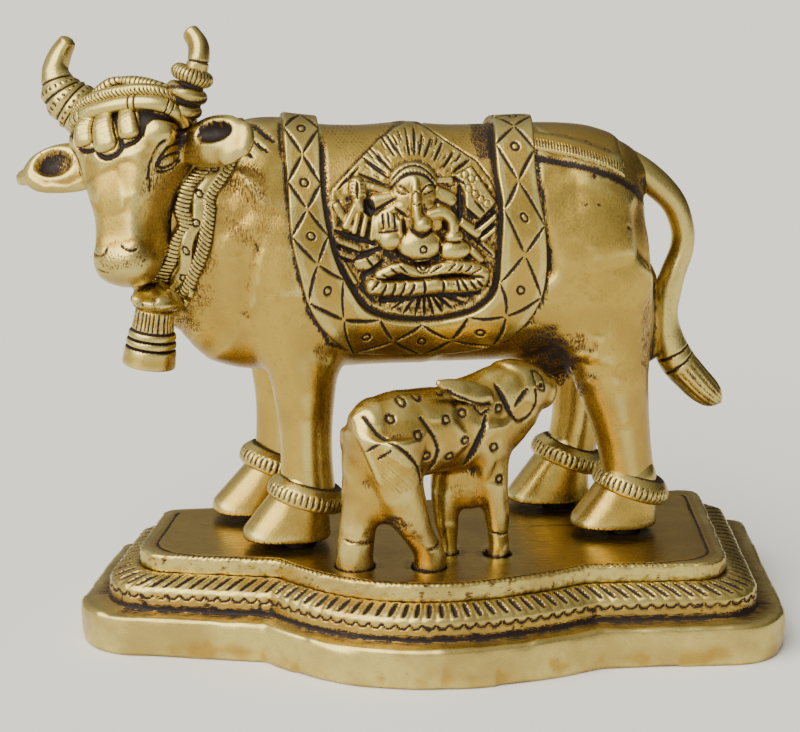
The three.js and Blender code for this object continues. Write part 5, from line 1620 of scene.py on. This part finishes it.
    # crown bands, eyes and trunk
    for line, wide in (
        ([(-13.9, 102.6), (-11.2, 104.6), (-7.8, 105.4), (-4.4, 104.6), (-1.9, 102.5)], 0.42),
        ([(-13.8, 104.4), (-11.0, 106.6), (-7.8, 107.4), (-4.7, 106.5), (-2.1, 104.3)], 0.3),
        ([(-13.0, 102.7), (-11.9, 102.7), (-10.6, 102.1), (-9.4, 100.9)], 0.1),
        ([(-6.0, 101.0), (-5.0, 102.2), (-3.8, 102.8), (-2.4, 102.9)], 0.1),
        ([(-12.6, 101.3), (-11.4, 100.7), (-10.0, 100.5)], 0.1), ([(-5.2, 100.6), (-4.0, 100.9), (-2.8, 101.5)], 0.1),
        ([(-8.6, 100.4), (-7.6, 101.0), (-6.6, 100.4)], 0.12), ([(-8.6, 98.2), (-7.6, 97.7), (-6.6, 98.2)], 0.12),
        ([(-8.6, 91.4), (-6.1, 89.9), (-3.5, 91.4)], 0.45),
    ):
        cuts = np.maximum(cuts, 0.9 * groove(p, line, wide + 0.1))
    for k in range(11):
        strike((-12.8 + k, 105.0 - 0.06 * (k - 5) ** 2), (-12.5 + 0.94 * k, 106.2 - 0.06 * (k - 5) ** 2), 0.2, 0.6)
    for k in range(34):
        way = math.radians(8 + 164 * k / 33)
        reach = 9.6 + 1.7 * (k % 2) + 0.7 * (k % 3)
        a = np.array([-7.8 + reach * math.cos(way), 101.5 + reach * math.sin(way)])
        strike(a, a + 2.1 * np.array([math.cos(way), math.sin(way)]), 0.2, 0.55 * (abs(a[0] + 7.8) < 16))
    cuts = np.maximum(cuts, 0.9 * (1 - ramp(np.abs(np.hypot(x + 5.8, z - 86.5) - 0.9), 0.1, 0.36)))
    cuts = np.maximum(cuts, 0.9 * (1 - ramp(np.abs(np.hypot(x + 5.6, z - 81.8) - 1.0), 0.1, 0.36)))
    cuts = np.maximum(cuts, 0.7 * (1 - ramp(np.abs(np.hypot(x + 5.6, z - 81.8) - 1.9), 0.1, 0.3)) * (z < 82.4))
    # leaf, fingers and arm bands
    strike((-23.3, 99.8), (-23.2, 104.4), 0.42)
    for k in range(5):
        strike((-25.2, 100.6 + k), (-23.6, 100.2 + k), 0.2, 0.6)
        strike((-22.8, 100.2 + k), (-21.2, 100.6 + k), 0.2, 0.6)
    for at in (-16.6, -15.1, -13.5):
        strike((at, 96.2), (at + 0.1, 92.1), 0.34)
    strike((-18.1, 90.9), (-12.2, 91.6), 0.4)
    for a, b, wide in (
        ((-18.6, 97), (-12.6, 100), 0.5), ((-13.2, 97.4), (-9.4, 94.6), 0.45), ((-10.9, 95.0), (-10.6, 90.2), 0.5),
        ((-0.2, 93.9), (1.0, 91.2), 0.6), ((0.4, 88.2), (5.2, 88.0), 0.35), ((-1.2, 88.4), (-0.6, 84.4), 0.45),
        ((-12.8, 85.4), (-8, 83.2), 0.5), ((-8.6, 83.4), (-1.0, 84.2), 0.4), ((4.9, 103.4), (4.9, 93.4), 0.85),
        ((3.0, 105.2), (6.6, 102.9), 0.5), ((8.8, 98.9), (11.8, 95.6), 0.42), ((6.4, 97.0), (9.7, 94.0), 0.5),
        ((8.6, 91.2), (15.2, 96.2), 0.55), ((10.0, 88.8), (14.9, 92.7), 0.5), ((7.6, 89.6), (14.2, 83.6), 0.4),
        ((-30.0, 91.6), (-18.4, 87.6), 1.0), ((-24.8, 83.4), (-16.6, 87.0), 1.0), ((-29.6, 87.6), (-23.2, 85.4), 0.5),
        ((-28.6, 84.4), (-24.2, 82.8), 0.45), ((-21.0, 84), (-18.9, 81.2), 0.4), ((-21.9, 78.6), (-16.4, 83.4), 0.9),
    ):
        strike(a, b, wide)
    cuts = np.maximum(cuts, dome(p, (-20.2, 97.6), (1.7, 2.3), 1.0) ** 0.5)
    for cx, cz in ((6.7, 105.6), (8.4, 104.4), (7.5, 101.9), (9.2, 100.4), (10.7, 99.1), (12.3, 97.9), (10.3, 104.4)):
        cuts = np.maximum(cuts, 0.45 * (1 - ramp(np.abs(np.hypot(x - cx, z - cz) - 0.95), 0.05, 0.3)))
    # folds of the robe over the legs
    for a, b in (
        ((-16.9, 79.9), (-15.0, 78.6)), ((-14.5, 81.5), (-12.4, 79.4)), ((-12.1, 82.1), (-9.8, 79.7)), ((1.1, 80.2), (3.3, 82.2)),
        ((3.8, 80.0), (5.4, 81.8)), ((6.0, 79.9), (8.0, 81.6)), ((7.8, 79.3), (10.6, 80.8)), ((8.5, 78.3), (11.6, 78.4)),
        ((-3.6, 80), (-0.3, 81.9)),
    ):
        strike(a, b, 0.36)
    for a, b in (
        ((-19.9, 75.4), (-17.5, 77.8)), ((-17.2, 73.7), (-15.7, 76.9)), ((-14.5, 73.0), (-13.0, 77.3)), ((-12.1, 73.2), (-10.3, 77.4)),
        ((-9.4, 73.6), (-7.9, 77.1)), ((-5.2, 77.9), (-5.2, 74.0)), ((0.0, 77.6), (0.0, 74.2)), ((3.8, 77.9), (4.4, 74.4)),
        ((5.1, 77.8), (6.8, 74.5)), ((7.5, 77.4), (9.3, 74.7)), ((9.4, 77.6), (11.1, 75.6)),
    ):
        strike(a, b, 0.5)
    for k in range(3):
        strike((1.0, 76.8 - 0.8 * k), (3.2, 76.8 - 0.8 * k), 0.2, 0.6)
    cuts = np.maximum(cuts, groove(p, [(-18.4, 78.6), (-14.4, 78.0), (-5.4, 78.3), (0, 79.0), (8.6, 78.2)], 0.5))
    # petals under the seat
    for at in (-20.4, -17.2, -13.9, -10.6, -7.4, -4.8, -2.2, 0.4, 3.1, 6.1, 8.7):
        low = 66.9 + 0.028 * (at + 5) ** 2
        strike((-5.2 + (at + 5.2) * 0.35, 73.4), (at, low), 0.52)
    cuts = np.maximum(cuts, groove(p, [(-17, 71.6), (-10, 72.0), (-5, 73.2), (2, 72.8), (9.6, 73.6)], 0.9))
    # the frame's own edge line
    cuts = np.maximum(cuts, 0.5 * (1 - ramp(np.abs(inside), 0.1, 0.4)) * ramp(z, 98, 104))
    return height - 0.75 * cuts, np.clip(dark + cuts * 1.05, 0, 1.2), inside


def panel(sizes, side, cell):
    """The cloth's middle: a sheet laid on her body, which sinks out of sight under the border."""
    x = np.arange(-36.5, 19.5, cell)
    top, low = math.pi / 2, float(girth(-5.0, 63.0))
    rows = int((top - low) * 26 / cell)
    turn = np.linspace(low, top, rows)
    grid_x, grid_turn = np.meshgrid(x, turn, indexing="ij")
    points, normals = laid(grid_x, grid_turn, side)
    seen = np.stack([grid_x, np.minimum(points[..., 2] - 0.0, 200)], -1)
    height, dark, inside = figure_relief(seen)
    edge = polygon_distance(seen, [(a, min(b, 140)) for a, b in PANEL_EDGE])
    back = (inside > 0)
    dots = ramp(np.sin(seen[..., 0] * 5.1) * np.sin(seen[..., 1] * 5.1), 0.3, 0.8) * ramp(grain(seen[..., 0], seen[..., 1], 3.0, 80), -0.3, 0.3)
    patch = polygon_distance(seen, [(9.4, 113.4), (11, 117.5), (17, 117.5), (15.4, 109.4), (11.4, 108.8)])
    patch = 1 - ramp(patch + 0.5 * grain(seen[..., 0], seen[..., 1], 1.2, 81), -0.6, 0.6)
    dark = dark + back * dots * 0.36 + 0.62 * patch
    height = height - back * dots * 0.06 + 1.1 * np.exp(-((grid_x + 8) / 8.5) ** 2) * ramp(points[..., 2], 112, 117)
    trench = (1 - ramp(-edge, 0.2, 1.9)) * ramp(120 - seen[..., 1], 2.0, 8.0)
    height = height * (1 - trench) - 0.35 * trench
    dark = np.clip(dark + trench * 1.0, 0, 1.2)
    height = height - 3.2 * ramp(edge, 0.8, 2.0)
    out = points + normals * (height + 0.12)[..., None]
    return backed(of_cow_grid(out), dark, of_cow_way(-normals), 4.0)


def strap(sizes, side):
    """The strap from the cloth along her rump: a raised ruled band with short upright ribs and small rings."""
    u, v = np.linspace(0, 1, 230), np.linspace(0, 1, 70)
    low = knots([(26, girth(26, 111.6)), (34, girth(34, 110)), (42, girth(42, 107.4)), (49, girth(49, 104)), (54.6, girth(54.6, 100.8))], u)
    top = np.stack([low[:, 0], np.full(len(u), math.pi / 2)], 1)
    mixed = low[:, None] * (1 - v)[None, :, None] + top[:, None] * v[None, :, None]
    points, normals = laid(mixed[..., 0], mixed[..., 1], side, 40)
    s = along(points)
    w = np.concatenate([np.zeros((len(u), 1)), np.cumsum(np.linalg.norm(np.diff(points, axis=1), axis=-1), 1)], 1)
    pitch = 0.85
    phase = (s + 0.15 * grain(s, w, 5.0, 90)) / pitch
    rib = (1 - ramp(np.abs(phase - np.round(phase)) * pitch, 0.06, 0.28)) * ramp(w, 0.9, 1.3) * (1 - ramp(w, 3.4, 4.0))
    flat = np.stack([s, w], -1)
    rings = sum(ring(flat, (at, 7.6), 0.9, 0.35) for at in (6, 11.5, 17, 22.5, 28)) * 0.7
    end = ramp(s.max() - s, 0.0, 7.0)
    height = -1.4 + 0.8 * end + (0.6 + 1.0) * ramp(w, 0.0, 0.9) * end * (1 - 0.55 * ramp(w, 5.0, 9.0)) - 0.22 * rib - 0.2 * rings
    carved = rib * 0.6 + rings * 0.6 + 0.95 * (1 - ramp(w, 0.05, 0.6))
    out = points + normals * height[..., None]
    return backed(of_cow_grid(out), carved, of_cow_way(-normals))


# The calf

CALF_FEET = [(-4, -6, 4.5), (-22, 3.8, 5.2), (18.5, -4.7, 3), (6.8, 2.6, 2.6)]
CALF_RINGS = [
    (-12.2, 48), (-7.1, 48.8), (0.3, 49.3), (-16.5, 44.1), (-9.5, 39.5), (-6.4, 32.9), (-0.6, 42.4), (4.9, 43.6),
    (5, 36), (0.7, 31.7), (16.2, 43.4), (14.1, 32.8), (16.8, 22.9),
]


@functools.lru_cache(None)
def calf_parts():
    """The fields that the calf is blended from, each with the width of its fillet."""
    body = limb(
        [(-18.4, 0, 38.2), (-12.6, 0, 37.6), (-6, 0, 37.2), (1, 0, 37.2), (9, 0, 37.8), (16, 0, 39.6), (20, 0, 40.6)],
        [7.8, 9.3, 9.8, 9.6, 9.2, 7.6, 4], [10.4, 11.9, 12.1, 12.1, 11.8, 10.8, 7], fullness=2.2, stations=48, nose=7.4,
    )
    parts = []
    shanks = (
        (0, -3.6, [-15, -14.2, -13.2, -8.9], [9.0, 8.2, 6.9, 5.6]),
        (1, 3.4, [-17.2, -18.2, -19.2, -20.8], [8.2, 7.2, 6.2, 5.4]),
        (2, -3.4, [14, 15.2, 16.6, 18.2], [7.2, 6.2, 4.8, 3.6]),
        (3, 3.2, [11, 9.4, 8, 6.0], [6.6, 6.2, 5.9, 3.9]),
    )
    for foot, hip, aside, wide in shanks:
        x, y, radius = CALF_FEET[foot]
        aside, wide = aside + [x, x], wide + [radius, radius]
        centre = [hip + (y - hip) * k for k in (0, 0.2, 0.45, 0.75, 1, 1)]
        parts.append((stack(2, [39, 31, 23.5, 12, 4, -1.7], centre, wide, wide, [2.0] * 6, 1.2, aside), 2.6))
    parts.append((limb(
        [(8, 0, 39), (15, -0.6, 41.2), (20, -1, 43.4), (25, -1.6, 45.2), (30, -2.2, 45.6), (34, -2.4, 44.8)],
        [8.6, 7.8, 7, 6.6, 5.8, 4.4], [9.6, 10.2, 10.6, 9.7, 7.6, 5], fullness=2.2, stations=40, nose=3.6,
    ), 3.0))
    parts.append((limb([(14, 0, 33.5), (21, -0.8, 37), (27, -1.4, 40.5)], [6.6, 6, 5], [8.6, 8, 6.4], stations=24, nose=4.0), 4.0))
    for y in (-5.6, 4.2):
        parts.append((egg((22.4, y, 45.0), (5.6, 2.5, 6.9)), 1.2))
    parts.append((egg((-14.8, -0.5, 20), (6.5, 4.6, 7.5)), 3.0))
    parts.append((egg((12, -0.5, 20), (4.6, 4.0, 7)), 3.0))
    ear = [(13.2, -6.8, 46.9), (9.8, -7.8, 48.0), (5.6, -8.0, 49.6), (1.6, -7.2, 51.2), (-1.2, -6.4, 52.2)]
    far_ear = [(15.5, 4.6, 44.6), (13, 6.4, 45.2), (10, 7, 45.4), (8, 7, 45.4), (7, 7, 45.4)]
    for path in (ear, far_ear):
        parts.append((limb(path, [2.0, 3.1, 3.2, 2.4, 1.2], [1.6, 1.6, 1.5, 1.4, 1.1], side=(0, 0.35, 0.94), stations=30, margin=8, nose=1.2), 0.6))
    path = [(-23.4, -1.4, 43.9), (-22.8, -5.0, 39.9), (-20.0, -7.2, 34.9), (-16.2, -8.0, 30.1), (-13.0, -7.6, 25.9)]
    parts.append((limb(path, [2.0, 2.6, 3.8, 5.0, 3.2], [1.3, 1.4, 1.6, 1.5, 1.0], side=(0.75, 0, 0.66), stations=30, margin=8, nose=1.2), 1.2))
    return body, parts


def calf_field(points):
    body, parts = calf_parts()
    value = body(points)
    for field, soft in parts:
        value = blend(value, field(points), soft)
    return value


def calf_marks(p, n):
    """What is cut into the calf: rings all over, a rib line, a deep shoulder cut, the tail's edge, its face."""
    x, y, z = p.T
    seen = np.stack([x, z], 1)
    near = ramp(-n[:, 1], 0.15, 0.45) + ramp(n[:, 1], 0.15, 0.45)
    front = ramp(-n[:, 1], 0.1, 0.4)
    sink, carved = np.zeros(len(p)), np.zeros(len(p))

    def mark(amount, depth, dark=1.0):
        nonlocal sink, carved
        sink = np.maximum(sink, amount * depth)
        carved = np.maximum(carved, amount * dark)

    for centre in CALF_RINGS:
        mark(ring(seen, centre, 1.05, 0.5) * near, 0.4, 0.95)
    mark(groove(seen, [(-8.0, 43.8), (-5.6, 40), (-3.7, 35.9), (-3.2, 32.4), (-4.6, 28)], 0.6) * near, 0.6)
    mark(cut(seen, (12.0, 42.4), (6.6, 27.2), 1.15) * near, 1.1)
    mark(groove(seen, [(-22.9, 44.5), (-21.0, 40.9), (-17.4, 38.1), (-13.4, 34.7), (-10.0, 29.9), (-9.0, 25.7)], 0.6) * front, 0.6)
    for a, b in (((-24.0, 35.7), (-21.0, 38.5)), ((-21.6, 33.7), (-18.4, 36.9))):
        mark(cut(seen, a, b, 0.5) * front, 0.4)
    brush = (1 - ramp(np.hypot((x + 15.6) / 6.0, (z - 29.5) / 6.0), 0.7, 1.0)) * front
    comb = 1 - ramp(0.5 + 0.5 * np.cos((x * 0.72 + z * 0.7) * 7.0), 0.0, 0.4)
    mark(comb * brush, 0.1, 0.16)
    mark(cut(seen, (21.2, 43.2), (25.4, 47.9), 0.95) * near, 0.5)
    cheek = [(16.3, 49.6), (18.5, 44.8), (20.2, 41.5), (22.8, 38.7), (26.6, 40.0), (28.3, 43.6), (28.0, 47.4)]
    mark(groove(seen, cheek, 0.5, 24) * near, 0.5, 0.85)
    mark(cut(seen, (16.0, 50.2), (20.3, 40.6), 0.95) * near, 0.8)
    mark(groove(seen, [(27.6, 52.0), (29.4, 51.8), (31.0, 49.6), (31.3, 46.6)], 0.45) * near, 0.3, 0.8)
    mark(groove(seen, [(27.6, 51.4), (28.1, 49.0), (29.3, 47.2), (31.1, 46.4)], 0.4) * near, 0.3, 0.8)
    mark((1 - ramp(np.hypot(x - 29.9, z - 48.2), 0.4, 0.9)) * near, 0.4)
    mark(cut(seen, (8.2, 45), (10.6, 42.1), 0.4) * near, 0.3)
    mark(cut(seen, (10.1, 42.4), (13.2, 43.8), 0.6) * near, 0.4)
    mark(groove(seen, [(-0.4, 50.0), (3.6, 48.3), (7.2, 46.4), (10.6, 45.2), (13.6, 45.0)], 0.55) * near, 0.5)
    mark(groove(seen, [(-6.4, 6.3), (-3.4, 7.4), (-0.8, 9.0)], 0.45) * near, 0.35)
    mark(groove(seen, [(15.2, 7.2), (18, 6.6), (21, 6.4)], 0.45) * near, 0.35)
    mark(groove(seen, [(-27, 8.9), (-23.1, 8.2), (-18.2, 7.6)], 0.45) * near, 0.35, 0.7)
    for (cx, cz), reach, much in (((-15.4, 13.4), 4.4, 0.75), ((-19.6, 9), 4, 0.4), ((-11.4, 10), 3.6, 0.4), ((9, 20), 5.4, 0.22), ((11.4, 15), 3.4, 0.4)):
        r = np.hypot(x - cx, z - cz) / reach
        speckle = grain(x - 0.4 * y, z, 0.8, 100)
        mark((1 - ramp(r + 0.35 * grain(x - 0.4 * y, z, 1.6, 101), 0.3, 1.0)) * (0.4 + 0.6 * ramp(speckle, -0.6, 0.6)), 0.12, much)
    sink = sink + facets(x + 0.4 * y, z, 11, 102, 0.08)
    return sink, carved


def calf(sizes):
    points, quads, normals = shell(calf_field, (-32, -16, -2.4), (42, 16, 60), sizes.calf_cell / MM)
    sink, carved = calf_marks(points, normals)
    points = points - normals * sink[:, None]
    # painted shade: the feet darkened over their lowest 0.7 mm, where they stand on the plate
    carved = carved + 0.6 * (1 - ramp(points[:, 2], 0.0, 0.7))
    return of_calf(points), quads, np.zeros((0, 3), int), carved


# What a user would change

class StatueSizes(bpy.types.PropertyGroup):
    body_cell: FloatProperty(name="Body cell", description="Spacing of the cow's body mesh", default=0.9 * MM, unit="LENGTH")
    head_cell: FloatProperty(name="Head cell", description="Spacing of her head's mesh", default=0.42 * MM, unit="LENGTH")
    calf_cell: FloatProperty(name="Calf cell", description="Spacing of the calf's mesh", default=0.48 * MM, unit="LENGTH")
    cloth_raise: FloatProperty(name="Border height", description="How far the cloth's border stands up", default=1.35 * MM, unit="LENGTH")
    cut_width: FloatProperty(name="Cut width", description="Half-width of the border's lens cuts", default=0.6 * MM, unit="LENGTH")
    ring_radius: FloatProperty(name="Ring radius", description="Radius of the border's punched rings", default=1.05 * MM, unit="LENGTH")
    rib_pitch: FloatProperty(name="Rib pitch", description="Spacing of the ribs on anklets and garland", default=1.25 * MM, unit="LENGTH")
    flute_pitch: FloatProperty(name="Flute pitch", description="Spacing of the cuts on the base's cushion", default=3.6 * MM, unit="LENGTH")
    flute_depth: FloatProperty(name="Flute depth", description="Depth of the cuts on the base's cushion", default=0.75 * MM, unit="LENGTH")


class StatueFinish(bpy.types.PropertyGroup):
    satin: StringProperty(name="Satin brass", description="sRGB hex colour of the wheel-polished brass", default="#bc9f4d")
    bright: StringProperty(name="Bright brass", description="sRGB hex colour of the most rubbed ridges", default="#cfbe72")
    # the amber also paints shade: undersides, the side facing right and places with much metal around are mixed towards
    # it
    amber: StringProperty(name="Amber brass", description="sRGB hex colour of the tarnished brass", default="#8c6a34")
    patina: StringProperty(name="Patina", description="sRGB hex colour of the dark oxide in the hollows", default="#1f130f")
    roughness: FloatProperty(name="Roughness", description="Roughness of the polished brass", default=0.29, subtype="FACTOR")
    grain: FloatProperty(name="Grain", description="Strength of the scratches and casting grain", default=0.5, subtype="FACTOR")


class StatueStudio(bpy.types.PropertyGroup):
    floor: StringProperty(name="Floor", description="sRGB hex colour of the floor", default="#f4f4f2")
    key: FloatProperty(name="Key light", description="Strength of the main light, from the upper left in front", default=4.5)
    softness: FloatProperty(name="Key softness", description="How wide the main light is seen, in degrees", default=70.0)
    fill: FloatProperty(name="Fill light", description="Strength of the light tent around, dim at the right and behind", default=0.8)
    lens: FloatProperty(name="Lens", description="Focal length of the camera in mm", default=99.0)
    camera: FloatVectorProperty(name="Camera", description="Where the camera stands", default=(-8.89 * MM, -593.8 * MM, 226.68 * MM), unit="LENGTH")
    tilt: FloatProperty(name="Tilt", description="How far the camera looks down, in degrees", default=14.0)


# Operators

class STATUE_OT_base(bpy.types.Operator):
    """Builds the stepped base: the plinth with its fluted cushion, and the plate on top"""

    bl_idname = "statue.base"
    bl_label = "Base"

    def execute(self, context):
        sizes = context.scene.statue_sizes
        piece("base_steps", base_steps(sizes), finish_of("filed cast brass"), "base", 0.0, 0.75, 0.22)
        piece("base_plate", base_plate(sizes), finish_of("brushed brass plate"), "base", 0.35, 0.75, 0.2)
        return {"FINISHED"}


class STATUE_OT_body(bpy.types.Operator):
    """Builds the cow's body, hooves, anklets and tail"""

    bl_idname = "statue.body"
    bl_label = "Cow's body"

    def execute(self, context):
        sizes = context.scene.statue_sizes
        brass = finish_of("satin cast brass")
        for name, made, occlusion_shade in (("cow_body", cow_body, 1.0), ("cow_hooves", hooves, 1.0), ("cow_anklets", anklets, 0.8), ("cow_tail", tail, 0.2)):
            piece(name, made(sizes), brass, "cow", occlusion_shade)
        return {"FINISHED"}


class STATUE_OT_head(bpy.types.Operator):
    """Builds the cow's head, horns and headband"""

    bl_idname = "statue.head"
    bl_label = "Cow's head"

    def execute(self, context):
        sizes = context.scene.statue_sizes
        for name, made in (("cow_head", head), ("cow_horns", horns), ("cow_headdress", headdress)):
            piece(name, made(sizes), finish_of("satin cast brass"), "cow", 0.8)
        return {"FINISHED"}


class STATUE_OT_harness(bpy.types.Operator):
    """Builds what the cow wears: the saddle cloth with its relief, the strap, the garland and the bell"""

    bl_idname = "statue.harness"
    bl_label = "Cloth and garland"

    def execute(self, context):
        sizes = context.scene.statue_sizes
        brass = finish_of("satin cast brass")
        for label, side, rows, cols, cell in (("near", -1, 640, 44, 0.27), ("far", 1, 420, 30, 0.42)):
            piece("cloth_border_" + label, border(sizes, side, rows, cols), brass, "cow", 0.6)
            piece("cloth_panel_" + label, panel(sizes, side, cell), brass, "cow", 0.5, 0.5)
            piece("strap_" + label, strap(sizes, side), brass, "cow", 0.6)
        piece("garland", garland(sizes), brass, "cow", 0.8)
        piece("bell", bell(sizes), brass, "cow", 0.8)
        return {"FINISHED"}


class STATUE_OT_calf(bpy.types.Operator):
    """Builds the suckling calf with its engraved rings"""

    bl_idname = "statue.calf"
    bl_label = "Calf"

    def execute(self, context):
        piece("calf_body", calf(context.scene.statue_sizes), finish_of("satin cast brass"), "calf", 0.9, 0.75, 0.22)
        return {"FINISHED"}


class STATUE_OT_stage(bpy.types.Operator):
    """Sets the floor, the soft lights and the camera"""

    bl_idname = "statue.stage"
    bl_label = "Stage"

    def execute(self, context):
        studio = context.scene.statue_studio
        mesh = bpy.data.meshes.new("floor")
        far = 3.0
        mesh.from_pydata([(-far, -far, 0), (far, -far, 0), (far, far, 0), (-far, far, 0)], [], [(0, 1, 2, 3)])
        paper = bpy.data.materials.new("matt white paper")
        paper.use_nodes = True
        shader = paper.node_tree.nodes["Principled BSDF"]
        shader.inputs["Base Color"].default_value = linear(studio.floor)
        shader.inputs["Roughness"].default_value = 0.9
        mesh.materials.append(paper)
        floor = bpy.data.objects.new("floor", mesh)
        context.scene.collection.objects.link(floor)
        floor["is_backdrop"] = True
        world = bpy.data.worlds.new("studio air")
        world.use_nodes = True
        tree = world.node_tree
        way = add(tree, "ShaderNodeTexCoord").outputs["Generated"]
        toward = add(tree, "ShaderNodeVectorMath", {"operation": "DOT_PRODUCT"}, {0: way, 1: (-0.66, -0.5, 0.55)}).outputs["Value"]
        share = add(tree, "ShaderNodeMapRange", {"interpolation_type": "SMOOTHSTEP"}, {"Value": toward, "From Min": -0.9, "From Max": 0.8}).outputs["Result"]
        tent = add(tree, "ShaderNodeMix", {"data_type": "RGBA"}, {0: share, 6: linear("#55503f"), 7: linear("#fbf8f0")}).outputs[2]
        tree.links.new(tent, tree.nodes["Background"].inputs["Color"])
        tree.nodes["Background"].inputs["Strength"].default_value = studio.fill
        context.scene.world = world
        key = bpy.data.lights.new("key", "SUN")
        key.energy = studio.key
        key.angle = math.radians(studio.softness)
        key.color = linear("#fffaf0")[:3]
        lamp = bpy.data.objects.new("key", key)
        lamp.rotation_euler = Vector((0.55, 0.55, -0.63)).to_track_quat("-Z", "Y").to_euler()
        context.scene.collection.objects.link(lamp)
        camera = bpy.data.cameras.new("camera")
        camera.lens = studio.lens
        camera.sensor_width = 36
        camera.clip_start = 0.01
        view = bpy.data.objects.new("camera", camera)
        view.location = studio.camera
        view.rotation_euler = (math.radians(90 - studio.tilt), 0, 0)
        context.scene.collection.objects.link(view)
        context.scene.camera = view
        return {"FINISHED"}


class STATUE_PT_panel(bpy.types.Panel):
    """Lists the statue's pieces and their sizes"""

    bl_idname = "STATUE_PT_panel"
    bl_label = "Cow and calf"
    bl_space_type = "VIEW_3D"
    bl_region_type = "UI"
    bl_category = "Statue"

    def draw(self, context):
        for operator in OPERATORS:
            self.layout.operator(operator.bl_idname)
        for group in (context.scene.statue_sizes, context.scene.statue_finish, context.scene.statue_studio):
            for name in group.__annotations__:
                self.layout.prop(group, name)


OPERATORS = (STATUE_OT_stage, STATUE_OT_base, STATUE_OT_body, STATUE_OT_head, STATUE_OT_harness, STATUE_OT_calf)
GROUPS = {"statue_sizes": StatueSizes, "statue_finish": StatueFinish, "statue_studio": StatueStudio}


def register():
    for one in (*GROUPS.values(), *OPERATORS, STATUE_PT_panel):
        bpy.utils.register_class(one)
    for name, group in GROUPS.items():
        setattr(bpy.types.Scene, name, bpy.props.PointerProperty(type=group))


def unregister():
    for name in GROUPS:
        delattr(bpy.types.Scene, name)
    for one in (STATUE_PT_panel, *reversed(OPERATORS), *reversed(GROUPS.values())):
        bpy.utils.unregister_class(one)


def main():
    register()
    bpy.ops.statue.stage()
    bpy.ops.statue.base()
    bpy.ops.statue.body()
    bpy.ops.statue.head()
    bpy.ops.statue.harness()
    bpy.ops.statue.calf()
    boxes = {"cad": CAD_BOX, "visual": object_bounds()}
    {name: [list(corner) for corner in box] for name, box in boxes.items()}


if __name__ == "__main__":
    main()
